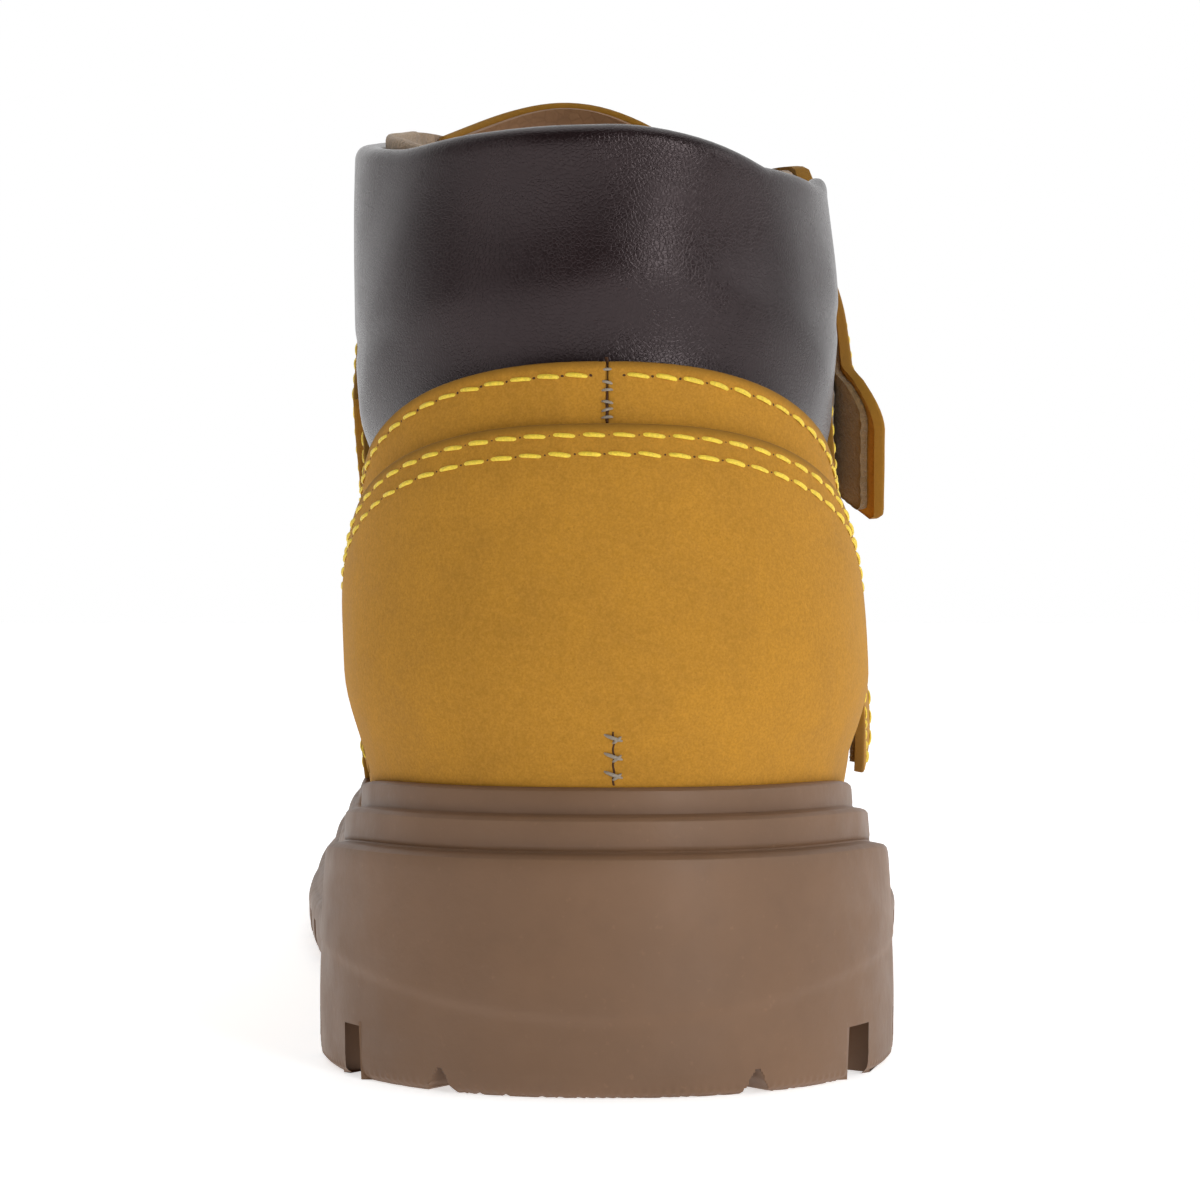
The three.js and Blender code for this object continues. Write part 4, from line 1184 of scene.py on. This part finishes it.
class Strap:
    """One strap's path: across the boot in one smooth band, in side view a straight one on each side."""

    ACROSS, ALONG = 33, 150
    REACH, SEARCH, STEPS, POINTS = 140, 1400, 240, 420

    def __init__(self, name):
        self.name = name
        self.place = STRAPS[name]
        end, ridge = np.array(self.place["end"], float), np.array(self.place["ridge"], float)
        self.along = (ridge - end) / np.linalg.norm(ridge - end)
        self.across = np.array([-self.along[1], self.along[0]])
        self.end = end
        self.c = np.linspace(-1, 1, self.ACROSS) * STRAP_WIDTH / 2
        self.lines = [self.line(c) for c in self.c]

    def line(self, c):
        """From the medial end over the ridge to the lateral end, at c across."""
        origin = self.end + self.across * c
        s = np.linspace(0, self.REACH, self.SEARCH)
        yz = origin + s[:, None] * self.along
        full = rounding(yz[:, 0], yz[:, 1]) >= 1
        length = s[np.argmax(full)] if full.any() else s[-1]
        q = eased(self.STEPS)
        halves = []
        for side, reach, top in ((MEDIAL, lerp(0.0, length, q), -1), (LATERAL, lerp(length, 0, q), 0)):
            yz = origin + reach[:, None] * self.along
            half = form_point(yz[:, 0], yz[:, 1], side)
            half[top][0] = ridge_x(yz[top][0])
            halves.append(half)
        return resample(np.vstack([halves[0], halves[1][1:]]), self.POINTS)

    def at(self, c, u):
        """Points on the form at c across and u (0 to 1) along."""
        k = np.clip((c / STRAP_WIDTH + 0.5) * (self.ACROSS - 1), 0, self.ACROSS - 1 - 1e-9)
        i = int(k)
        return lerp(self.take(i, u), self.take(i + 1, u), k - i)

    def take(self, i, u):
        line = self.lines[i]
        j = np.clip(np.asarray(u, float), 0, 1) * (len(line) - 1)
        a = np.minimum(j.astype(int), len(line) - 2)
        return lerp(line[a], line[a + 1], (j - a)[..., None])

    def total(self):
        return arc_lengths(self.lines[self.ACROSS // 2])[-1]

    def lift(self, p):
        across = smooth(-22, 22, p[:, 0])
        from_end = (p[:, 1:] - self.end) @ self.along
        bend = np.clip(1 - from_end / FLARE_LENGTH, 0, 1.6) ** 1.4
        flare = np.where(p[:, 0] > 0, self.place["flare"] * bend, 0)
        return lerp(STRAP_LIFT[0], STRAP_LIFT[1], across) + flare

    def outer(self, p):
        return self.lift(p) + STRAP_THICKNESS + waves(p, 9, 0.08, 9.0)

    def hinge(self):
        """The two bodies at the strap's hinge, and two places either side of it."""
        joint = joint_named(f"strap_{self.name}_hinge")
        at, axis = Vector(joint["pos_m"]), Vector(joint["axis"]).normalized()
        d = Vector((0.5, *(self.along * 0.87)))
        d = (d - axis * d.dot(axis)).normalized()
        return ROOT, f"strap_{self.name}_body", tuple(at - d * 0.003), tuple(at + d * 0.005)


BAND_ROWS = 25


def tip_inset(c, width, radii):
    """How far the rounded end starts in from the band's end, at c across, with (lower, upper) radii."""
    radius = radii[1] if c > 0 else radii[0]
    past = np.maximum(0, np.abs(c) - (width / 2 - radius))
    return radius - np.sqrt(np.maximum(0, radius**2 - past**2))


def band(strap, name, width, span, inner, outer, material, rim, tips, columns):
    """A strip on a strap's path over a span of its length, with rounded ends."""
    total = strap.total()
    u0, u1 = span
    rows = np.linspace(-1, 1, BAND_ROWS) * (width / 2 - rim)
    grid = []
    for c in rows:
        a = u0 + (rim + tip_inset(c, width, tips[0])) / total
        b = u1 - (rim + tip_inset(c, width, tips[1])) / total
        grid.append(strap.at(c, np.linspace(a, b, columns)))
    points = np.array(grid).reshape(-1, 3)
    faces = []
    for i in range(len(rows) - 1):
        for j in range(columns - 1):
            a = i * columns + j
            faces.append((a, a + columns, a + columns + 1, a + 1))
    normals = form_normal(points)
    first = faces[len(faces) // 2]
    v = points[list(first)]
    facing = np.cross(v[1] - v[0], v[2] - v[0]) @ normals[first[0]]
    if facing < 0:
        faces = [tuple(reversed(face)) for face in faces]
    edge = np.minimum(width / 2 - np.repeat(np.abs(rows), columns), 12)
    return thick(name, points, faces, outer, inner, material, rim, edge)


def strap_rows(strap, inset):
    """The line of the sewn row round a strap's outer face, as (c, u) points."""
    total = strap.total()
    half = STRAP_WIDTH / 2 - inset
    turns = np.linspace(0, math.pi / 2, 10)
    path = []
    for sign, corner_radius in zip((-1, 1), TIP_RADII):
        radius = max(corner_radius - inset, 0.3)
        centre_u = 1 - (inset + radius) / total
        run = [(sign * half, u) for u in np.linspace(inset / total, centre_u, 120)]
        for a in turns:
            c = sign * (half - radius + radius * math.cos(a))
            run.append((c, centre_u + radius * math.sin(a) / total))
        path += run if sign < 0 else run[::-1]
    return path


STRAP_ROW_INSET = 1.9
# The box stitch over the sewn end: half its width, and where it starts and stops along the strap.
BOX_HALF, BOX_START, BOX_END = 8.6, 3.6, 14.2


def sew_strap(strap):
    """The row round a strap's edge, and a crossed box over its sewn end."""
    sewing = Sewing()
    row = strap_rows(strap, STRAP_ROW_INSET)
    sewing.row([strap.at(c, np.array([u]))[0] for c, u in row], strap.outer)
    total = strap.total()
    box = [(-BOX_HALF, BOX_START), (BOX_HALF, BOX_START), (BOX_HALF, BOX_END), (-BOX_HALF, BOX_END)]
    for (c0, s0), (c1, s1) in [*zip(box, box[1:] + box[:1]), (box[0], box[2]), (box[1], box[3])]:
        steps = np.linspace(0, 1, 20)
        line = [strap.at(lerp(c0, c1, k), np.array([lerp(s0, s1, k) / total]))[0] for k in steps]
        sewing.row(line, strap.outer)
    made = sewing.build(f"strap_{strap.name}_stitches", thread_yellow, body=None)
    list(strap.hinge())
    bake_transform(made)


def loop_outer(p):
    """The loop tape's uneven pile."""
    return LOOP["outer"] + 0.22 * np.sin(p[:, 1] * 7.3 + p[:, 2] * 5.1) * np.sin(p[:, 2] * 8.7 - p[:, 0] * 3)


def loop_inner(p):
    return np.full(len(p), LOOP["inner"])


def add_tapes(strap):
    """Hook tape under a strap's free end, and loop tape on the boot below it."""

    def hook_outer(p):
        return strap.lift(p) - 0.06

    def hook_inner(p):
        return strap.lift(p) - HOOK["thickness"] - 0.14 * np.sin(p[:, 1] * 7.3) * np.sin(p[:, 2] * 8.1)

    tapes = (
        ("hook", HOOK, HOOK_WIDTH, (hook_outer, hook_inner), ((2, 2), (2, 5)), f"strap_{strap.name}_body"),
        ("loop", LOOP, LOOP_WIDTH, (loop_inner, loop_outer), ((2, 2), (2, 2)), ROOT),
    )
    for kind, spec, width, sides, tips, body in tapes:
        end = 1 - spec["start"] / strap.total()
        span = (end - spec["length"] / strap.total(), end)
        name, material = f"strap_{strap.name}_{kind}s", MATERIALS[f"{kind}_tape"]
        made = band(strap, name, width, span, *sides, material, 0.3, tips, TAPE_COLUMNS)
        own(made, [f"strap_{strap.name}_{kind}_tape"], body)


TAPE_COLUMNS = 90
for name in STRAPS:
    strap = Strap(name)
    tips = ((0.6, 0.6), TIP_RADII)
    made = band(
        strap, f"strap_{name}_band", STRAP_WIDTH, (0, 1), strap.lift, strap.outer, leather, 0.5,
        tips, strap.ALONG,
    )
    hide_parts(f"strap_{name}", f"strap_{name}_sewn_end")
    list(strap.hinge())
    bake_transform(made)
    sew_strap(strap)
    add_tapes(strap)

# ---- Sewn rows on the upper ------------------------------------------------------------------


def clear_of_sole(p):
    return p[2] > float(wall_top(p[1])) + 1.5


sewing = Sewing()
heel_shape = region(below(HEEL_PANEL_EDGE))
for inset in (1.7, 4.3):
    for line in contour(heel_shape, inset, lambda p: clear_of_sole(p) and p[1] < 104)[:2]:
        sewing.row(line, heel_panel_outer)
sewing.build("heel_counter_stitches", thread_yellow)

def beside_seam(p, side, gap):
    """Whether a stitch is clear of the sole and far enough from the boot's middle line."""
    return clear_of_sole(p) and side * (p[0] - float(ridge_x(p[1]))) > gap


sewing = Sewing()
for side in (MEDIAL, LATERAL):
    shape = np.where(on_side[side] > 0.2, region(quarter_outline(side)), -1)
    for line in contour(shape, 1.9, lambda p, s=side: beside_seam(p, s, 2.1))[:2]:
        sewing.row(line, quarter_outer)
    for line in contour(shape, 4.6, lambda p, s=side: beside_seam(p, s, 2.2) and p[1] > 118)[:1]:
        sewing.row(line, quarter_outer)
sewing.build("quarter_stitches", thread_yellow)

sewing = Sewing()
toe_shape = region(ahead_of(TOE_COVER_EDGE))
for inset in (1.7, 4.3):
    for line in contour(toe_shape, inset, lambda p: clear_of_sole(p) and p[1] < 262)[:1]:
        sewing.row(line, toe_outer)
sewing.build("toe_overlay_stitches", thread_yellow)


def on_back(x, z, offset):
    """Points lifted off the form at the back of the heel, and their normals."""
    points = np.stack([x, heel_line(z), z], -1)
    for _ in range(12):
        points = points - form_normal(points) * ((form_level(points) - 1) * 8)[:, None]
    normals = form_normal(points)
    return points + normals * offset, normals


def seam_stitch(sewing, x, z, width, height, offset, radius=0.2):
    t = np.linspace(0, 1, 7)
    points, normals = on_back(x + (t - 0.5) * width, z + (t - 0.5) * height, offset)
    sewing.add(points, normals, radius)


def seam_slit(name, x, z0, z1, offset, width):
    """A dark strip of painted shade in the gap of a butted seam."""
    z = np.linspace(z0, z1, 24)
    wobble = 0.08 * np.sin(z * 3.1)
    vertices, size = [], 24
    for side, depth in ((-1, -0.25), (0, 0.05), (1, -0.25), (0, -0.5)):
        points, _ = on_back(np.full(size, x) + wobble + side * width / 2, z, offset + depth)
        vertices.append(points)
    faces = []
    for k in range(4):
        a, b = k * size, (k + 1) % 4 * size
        faces += [(a + i, a + i + 1, b + i + 1, b + i) for i in range(size - 1)]
    faces += [(0, size, 2 * size, 3 * size), (4 * size - 1, 3 * size - 1, 2 * size - 1, size - 1)]
    made = add_object(name, np.vstack(vertices), faces, hole_and_seam_shade)
    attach(made, ROOT)


sewing = Sewing()
for z, tilt in ((92.9, 0.1), (91.2, -0.4), (90.2, 0.1), (88.6, -0.3), (87.6, 0.4), (86.6, 0.1)):
    seam_stitch(sewing, 0.05, z, 1.5, tilt, 0.42)
for z in (45.6, 43.2, 40.8):
    seam_stitch(sewing, 0.75, z, 2.3, -0.9, 2.5, 0.24)
    seam_stitch(sewing, 1.2, z - 0.3, 1.1, 0.9, 2.5, 0.2)
sewing.build("back_seam_stitches", thread_grey)
# Painted shade: dark strips in the gaps of the back seam and the dart.
seam_slit("back_seam_shade", 0.0, 86.0, 94.6, 0.22, 0.45)
seam_slit("dart_seam_shade", 0.8, 39.4, 46.4, 2.38, 0.55)

# ---- Sole ------------------------------------------------------------------------------------

toe_spring = through([(200, 0), (235, 1), (265, 3.4), (303, 8.5)])
LUG_HEIGHT = 7.0
wall_thickness = through([(60, 3.7), (150, 2.6), (230, 2.4)])
HEEL_BACK_Y = 0.8
SOLE_TOE_Y = 299.0
LOOP_POINTS = 2880
# The powers of the two superellipses that end the sole's outline.
HEEL_POWER, TOE_POWER = 2 / 2.2, 2 / 2.5


def sole_loop():
    """The plan outline of the sole's top band, anticlockwise from the back of the heel."""
    heel = np.radians(np.linspace(0, 90, 60))
    toe = np.radians(np.linspace(0, 90, 90))
    rows = [(HEEL_BACK_Y + 40 * (1 - math.cos(a) ** HEEL_POWER), math.sin(a) ** HEEL_POWER) for a in heel]
    rows += [(y, 1.0) for y in np.linspace(44, 228, 90)]
    reach = SOLE_TOE_Y - TOE_START_Y
    rows += [(TOE_START_Y + reach * math.sin(a) ** TOE_POWER, math.cos(a) ** TOE_POWER) for a in toe]
    y, share = np.array(rows).T
    side_points = {}
    for side in (LATERAL, MEDIAL):
        centre = side * ridge_x(y) * smooth(200, 290, y)
        reach = (SOLE_REACH[side](y) * (1 - tuck(y)) + wall_thickness(y) - centre) * share + centre
        side_points[side] = np.stack([side * reach, y], -1)
    loop = np.vstack([side_points[LATERAL], side_points[MEDIAL][::-1][1:-1]])
    closed = resample(np.vstack([loop, loop[:1]]), LOOP_POINTS + 1)[:-1]
    for _ in range(12):
        closed = (np.roll(closed, 1, 0) + closed * 2 + np.roll(closed, -1, 0)) / 4
    return closed


LOOP_XY = sole_loop()
_tangent = np.roll(LOOP_XY, -3, 0) - np.roll(LOOP_XY, 3, 0)
LOOP_OUT = np.stack([_tangent[:, 1], -_tangent[:, 0]], -1) / np.linalg.norm(_tangent, axis=1, keepdims=True)
LOOP_ARC = arc_lengths(LOOP_XY)
HEEL_BALL = smooth(80, 150, LOOP_XY[:, 1])
LATERAL_TRIM = 0.22
trim = LATERAL_TRIM * smooth(90, 140, LOOP_XY[:, 1]) * (1 - smooth(235, 280, LOOP_XY[:, 1]))
LOOP_SHARE = 1 - np.where(LOOP_XY[:, 0] > 0, trim, 0)
WALL_OUTSET = 6.1
LOOP_EDGE = LOOP_XY + LOOP_OUT * WALL_OUTSET
NOTCH = {MEDIAL: (32.6, 35.0), LATERAL: (31.9, 35.0)}
GROOVES = (-21.7, 19.4)
GROOVE_HEIGHT = 3.3
RIB_PITCH = 1.05

# Rings of the wall above the lugs: the depth below its top edge, and how far it stands out beyond
# the top band at the heel and at the ball.
UPPER_RINGS = [
    (8.0, lambda y: -wall_thickness(y) + 0.35, None),
    (0.9, lambda y: -wall_thickness(y) + 0.45, None),
    (0.15, lambda y: -wall_thickness(y) + 0.9, None),
    (0.0, -1.1, -1.0), (0.12, -0.5, -0.45), (0.45, -0.12, -0.1), (0.9, 0.0, 0.0), (2.7, 0.12, 0.12),
    (3.1, 0.1, 0.1), (3.35, 0.12, 0.12), (3.5, 0.4, 0.4), (3.6, 1.3, 1.2), (3.8, 1.9, 1.8),
    (4.2, 2.25, 2.15), (7.2, 2.5, 2.9), (7.7, 2.45, 2.85), (7.95, 2.3, 2.7), (8.15, 2.5, 2.9),
    (8.3, 3.4, 3.5), (8.5, 4.4, 4.15), (8.9, 4.85, 4.55), (9.6, 5.05, 4.75), (10.6, 5.15, 4.9),
    (11.3, 5.2, 5.0),
]
# Rings of the main wall: the share of its height, and how far it stands out.
WALL_RINGS = [
    (0.97, 5.25, 5.05), (0.85, 5.4, 5.6), (0.72, 5.55, 6.3), (0.60, 5.7, 6.7), (0.55, 5.76, 6.9),
    (0.525, 5.8, 7.15), (0.50, 5.84, 7.4), (0.40, 5.95, 7.9), (0.25, 6.05, 8.2), (0.12, 6.1, 8.3),
    (0.0, 6.1, 8.3),
]
LUG_RINGS = [
    (7.6, 6.1, 8.3), (4.4, 6.05, 8.2), (3.2, 6.05, 8.0), (2.8, 6.05, 8.0), (2.4, 6.0, 7.8),
    (2.0, 6.0, 7.7), (1.6, 5.95, 7.4), (1.2, 5.9, 7.1), (0.8, 5.8, 6.7), (0.35, 5.5, 5.9),
    (0.0, 5.0, 5.2),
]
CREASE = {"centre": 9.8, "rise": 6.4, "half": 33.0}


def crease(xy, z):
    """A shallow moulded step that sweeps round the back of the heel."""
    x = xy[:, 0] / CREASE["half"]
    line = CREASE["centre"] + CREASE["rise"] * x**2
    fade = (1 - smooth(30, 60, xy[:, 1]))
    return 0.3 * (smooth(-0.7, 0.7, z - line) - 1) * fade


def outsole():
    vertices, faces = [], []
    step = 4
    pick = np.arange(0, LOOP_POINTS, step)
    xy, out, ball = LOOP_XY[pick], LOOP_OUT[pick], HEEL_BALL[pick]
    top = wall_top(xy[:, 1])
    spring = toe_spring(xy[:, 1])
    rings = []
    for depth, heel, fore in UPPER_RINGS:
        grow = heel(xy[:, 1]) if callable(heel) else lerp(heel, fore, ball)
        rings.append((top - depth, grow * LOOP_SHARE[pick]))
    low = LUG_HEIGHT + spring
    high = top - 11.6
    shares, heels, fores = np.array(WALL_RINGS)[::-1].T
    for share in np.linspace(0.97, 0, 34):
        heel, fore = np.interp(share, shares, heels), np.interp(share, shares, fores)
        z = lerp(low, high, share)
        rings.append((z, lerp(heel, fore, ball) * LOOP_SHARE[pick] + crease(xy, z)))
    size = len(pick)
    for z, grow in rings:
        vertices.append(np.column_stack([xy + out * grow[:, None], z]))
    for r in range(len(rings) - 1):
        for i in range(size):
            a, b = r * size + i, r * size + (i + 1) % size
            faces.append((a, a + size, b + size, b))
    # The ground side between the lugs, and the inside of the cup, closed by strips across.
    for ring, flip in ((len(rings) - 1, True), (0, False)):
        s = ring * size
        for i in range(size // 2 - 1):
            quad = (s + i, s + i + 1, s + size - 2 - i if i + 1 < size else s, s + (size - 1 - i))
            quad = (s + i, s + i + 1, s + (size - i - 1) % size, s + (size - i) % size)
            quad = tuple(dict.fromkeys(quad))
            faces.append(quad if flip else quad[::-1])
        i = size // 2 - 1
        last = tuple(dict.fromkeys((s + i, s + i + 1, s + (size - i - 1) % size, s + (size - i) % size)))
        if len(last) >= 3:
            faces.append(last if flip else last[::-1])
    count = len(rings) * size

    def add_lug(outline_at):
        """A closed lug from its outline at each height, from the top down."""
        nonlocal count
        loops = [outline_at(z, heel, fore) for z, heel, fore in LUG_RINGS]
        n = len(loops[0])
        vertices.extend(loops)
        for r in range(len(loops) - 1):
            for i in range(n):
                a, b = count + r * n + i, count + r * n + (i + 1) % n
                faces.append((a, a + n, b + n, b))
        faces.append(tuple(count + i for i in range(n)))
        faces.append(tuple(count + (len(loops) - 1) * n + i for i in range(n))[::-1])
        count += len(loops) * n

    def edge_lug(indices, inner):
        """A lug on the sole's edge: the outline between two places, and inner points."""
        xy, out, ball = LOOP_XY[indices], LOOP_OUT[indices], HEEL_BALL[indices]
        ribs = np.sin(LOOP_ARC[indices] * 2 * math.pi / RIB_PITCH)
        share, outermost = LOOP_SHARE[indices], LOOP_EDGE[indices]

        def outline_at(z, heel, fore):
            grow = lerp(heel, fore, ball) * share + crease(xy, np.full(len(xy), z))
            grow = grow + 0.12 * ribs * (1 - smooth(0.6, 1.6, z))
            groove = np.zeros(len(xy))
            for x in GROOVES:
                reach = 1.75 * (1 - z / GROOVE_HEIGHT) - np.abs(outermost[:, 0] - x)
                groove += smooth(0, 0.12, reach) * (xy[:, 1] < 20) * (z < GROOVE_HEIGHT)
            grow = grow - 9.0 * np.minimum(groove, 1)
            edge = xy + out * grow[:, None]
            draft = 0.35 * (1 - z / LUG_HEIGHT)
            middle = np.vstack([edge, inner]).mean(0)
            away = np.maximum(np.linalg.norm(middle - inner, axis=1, keepdims=True), 1e-6)
            core = inner + (middle - inner) * (draft / away)
            ring = np.vstack([edge, core])
            teeth = np.concatenate([0.3 * (0.5 + 0.5 * ribs), np.zeros(len(core))]) * (1 - smooth(0, 1.5, z))
            return np.column_stack([ring, z + teeth + toe_spring(ring[:, 1])])

        add_lug(outline_at)

    def centre_lug(outline):
        outline = np.array(outline, float)
        middle = outline.mean(0)

        def outline_at(z, heel, fore):
            draft = 0.5 * (1 - z / LUG_HEIGHT) + (0.25 if z < 0.3 else 0)
            away = outline - middle
            ring = outline - away / np.linalg.norm(away, axis=1, keepdims=True) * draft
            return np.column_stack([ring, z + toe_spring(ring[:, 1])])

        add_lug(outline_at)

    half = LOOP_POINTS // 2
    sides = {LATERAL: np.arange(0, half), MEDIAL: np.arange(LOOP_POINTS - 1, half, -1)}
    inset = 11.0
    slant = 4.0
    for side, run in sides.items():
        y = LOOP_XY[run, 1]
        for start, stop, number, gap in ((12, 78, 3, 3.2), (134, 262, 7, 5.5)):
            pitch = (stop - start) / number
            for k in range(number):
                y0, y1 = start + k * pitch + gap / 2, start + (k + 1) * pitch - gap / 2
                chosen = run[(y >= y0) & (y <= y1)]
                if number == 7:
                    chosen = chosen[::3]
                at0 = LOOP_XY[run[np.argmin(np.abs(y - (y0 - slant)))]]
                at1 = LOOP_XY[run[np.argmin(np.abs(y - (y1 - slant)))]]
                inner = np.array([(at1[0] - side * inset, y1 - slant), (at0[0] - side * inset, y0 - slant)])
                if (number, k) == (3, 0):
                    far = NOTCH[side][1]
                    chosen = run[(LOOP_EDGE[run, 0] * side > far) & (y <= y1)]
                    inner = np.array([inner[0], (side * (far - 4), 21), (side * far, 18)])
                if side == LATERAL:
                    edge_lug(chosen, inner)
                else:
                    edge_lug(chosen[::-1], inner[::-1])
    back_run = np.concatenate([np.arange(LOOP_POINTS - 400, LOOP_POINTS), np.arange(0, 400)])
    x, y = LOOP_XY[back_run].T
    across = LOOP_EDGE[back_run, 0]
    chosen = back_run[(across > -NOTCH[MEDIAL][0]) & (across < NOTCH[LATERAL][0]) & (y < 30)]
    edge_lug(chosen, np.array([(NOTCH[LATERAL][0], 12), (-NOTCH[MEDIAL][0], 12)]))
    toe_run = np.arange(half - 500, half + 500)
    y = LOOP_XY[toe_run, 1]
    chosen = toe_run[(y > 264)][::3]
    inner = np.array([(-34, 264), (-8, 268), (16, 264)])
    edge_lug(chosen, inner if LOOP_XY[chosen[0], 0] > 0 else inner[::-1])
    for y0 in (17, 38, 59):
        centre_lug([(-20, y0), (20, y0), (20, y0 + 16), (-20, y0 + 16)])
    for k in range(5):
        y0 = 140 + k * 24
        arm = 22 - k * 1.2
        x0 = float(ridge_x(y0)) * 0.6
        front = [(x0 - arm, y0), (x0, y0 + 8), (x0 + arm, y0)]
        centre_lug([*front, *((x, y + 11) for x, y in reversed(front))])
    return np.vstack(vertices), faces


sole_vertices, sole_faces = outsole()
made = add_object("outsole_rubber_cup", sole_vertices, sole_faces, MATERIALS["outsole_rubber"], sharp=32)
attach(made, ROOT)
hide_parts("outsole")

# ---- Footbed ---------------------------------------------------------------------------------


def footbed():
    rows, columns = 110, 30
    y = np.linspace(16, 284, rows)
    heights = ledge(y) + 7.2
    edge = {}
    for side in (LATERAL, MEDIAL):
        p = form_point(y, heights, side)
        n = form_normal(p)
        edge[side] = (p + n * -6.6)[:, 0]
    u = np.linspace(-1, 1, columns)
    top = []
    for i in range(rows):
        x = lerp(edge[MEDIAL][i], edge[LATERAL][i], (u + 1) / 2)
        cup = 1.6 * np.abs(u) ** 5 * (1 - smooth(60, 150, y[i]))
        arch = 2.2 * smooth(0.1, 1, -u) * math.exp(-(((y[i] - 115) / 34) ** 2))
        top.append(np.column_stack([x, np.full(columns, y[i]), heights[i] - 0.6 * (1 - u**2) + cup + arch]))
    top = np.array(top)
    bottom = top.copy()
    bottom[:, :, 2] = (ledge(y) + 2.8)[:, None]
    vertices = np.vstack([top.reshape(-1, 3), bottom.reshape(-1, 3)])
    faces, n = [], rows * columns
    for i in range(rows - 1):
        for j in range(columns - 1):
            a = i * columns + j
            faces.append((a, a + 1, a + columns + 1, a + columns))
            faces.append((n + a, n + a + columns, n + a + columns + 1, n + a + 1))
    rim = [*range(columns)] + [i * columns + columns - 1 for i in range(1, rows)]
    rim += [(rows - 1) * columns + j for j in range(columns - 2, -1, -1)]
    rim += [i * columns for i in range(rows - 2, 0, -1)]
    for a, b in zip(rim, rim[1:] + rim[:1]):
        faces.append((b, a, n + a, n + b))
    return vertices, faces


made = add_object("footbed_cloth", *footbed(), MATERIALS["footbed_foam"], sharp=50)
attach(made, ROOT)
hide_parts("footbed")

# ---- Stage, camera and light -----------------------------------------------------------------

scene = bpy.context.scene
floor_mesh = bpy.data.meshes.new("floor")
floor_mesh.from_pydata([(-8, -8, 0), (8, -8, 0), (8, 8, 0), (-8, 8, 0)], [], [(0, 1, 2, 3)])
floor_material = bpy.data.materials.new("pale_floor")
floor_material.use_nodes = True
floor_material.node_tree.nodes["Principled BSDF"].inputs["Base Color"].default_value = (0.9, 0.9, 0.9, 1)
floor_material.node_tree.nodes["Principled BSDF"].inputs["Roughness"].default_value = 0.8
floor_material.node_tree.nodes["Principled BSDF"].inputs["Emission Color"].default_value = (1, 1, 1, 1)
floor_material.node_tree.nodes["Principled BSDF"].inputs["Emission Strength"].default_value = 0.6
floor_mesh.materials.append(floor_material)
floor = bpy.data.objects.new("floor", floor_mesh)
bpy.context.collection.objects.link(floor)

world = bpy.data.worlds.new("studio")
world.use_nodes = True
tree = world.node_tree
backdrop = tree.nodes["Background"]
backdrop.inputs["Color"].default_value = (1, 1, 1, 1)
# The room is bright behind and beside the boot and darker where the photographer stands.
ROOM_FRONT, ROOM_BACK = 0.03, 1.0
direction = tree.nodes.new("ShaderNodeTexCoord")
split = tree.nodes.new("ShaderNodeSeparateXYZ")
tree.links.new(direction.outputs["Generated"], split.inputs["Vector"])
shade = tree.nodes.new("ShaderNodeMapRange")
for key, value in (("From Min", -0.42), ("From Max", 0.62), ("To Min", ROOM_FRONT), ("To Max", ROOM_BACK)):
    shade.inputs[key].default_value = value
tree.links.new(split.outputs["Y"], shade.inputs["Value"])
seen = tree.nodes.new("ShaderNodeLightPath")
strength = tree.nodes.new("ShaderNodeMix")
strength.inputs["B"].default_value = 1.0
tree.links.new(seen.outputs["Is Camera Ray"], strength.inputs["Factor"])
tree.links.new(shade.outputs["Result"], strength.inputs["A"])
tree.links.new(strength.outputs["Result"], backdrop.inputs["Strength"])
scene.world = world
scene.view_settings.view_transform = "Standard"


def area_light(name, position, target, size, power, colour=(1, 1, 1)):
    data = bpy.data.lights.new(name, "AREA")
    data.shape = "RECTANGLE"
    data.size, data.size_y = size
    data.energy = power
    data.color = colour
    lamp = bpy.data.objects.new(name, data)
    lamp.location = position
    lamp.rotation_euler = (Vector(target) - Vector(position)).to_track_quat("-Z", "Y").to_euler()
    bpy.context.collection.objects.link(lamp)


area_light("key_right", (0.62, -1.15, 0.45), (0, -0.12, 0.07), (0.3, 0.7), 5.6)
area_light("side_right", (1.1, -0.35, 0.6), (0, -0.1, 0.07), (0.7, 0.7), 3.0)
area_light("fill_left", (-1.0, -0.9, 0.5), (0, -0.1, 0.07), (0.5, 0.8), 1.3)
area_light("top_soft", (0.0, 0.0, 1.5), (0, -0.05, 0.05), (1.0, 1.0), 2.5)

CAMERA_BACK = 400.0
CAMERA_HEIGHT = 63.0
camera_data = bpy.data.cameras.new("camera")
camera_data.lens = 94.05
camera_data.sensor_width = 36
camera_data.clip_start = 0.01
camera = bpy.data.objects.new("camera", camera_data)
camera.location = tuple(place([-0.9, -CAMERA_BACK, CAMERA_HEIGHT]))
camera.rotation_euler = (math.pi / 2, 0, 0)
bpy.context.collection.objects.link(camera)
scene.camera = camera
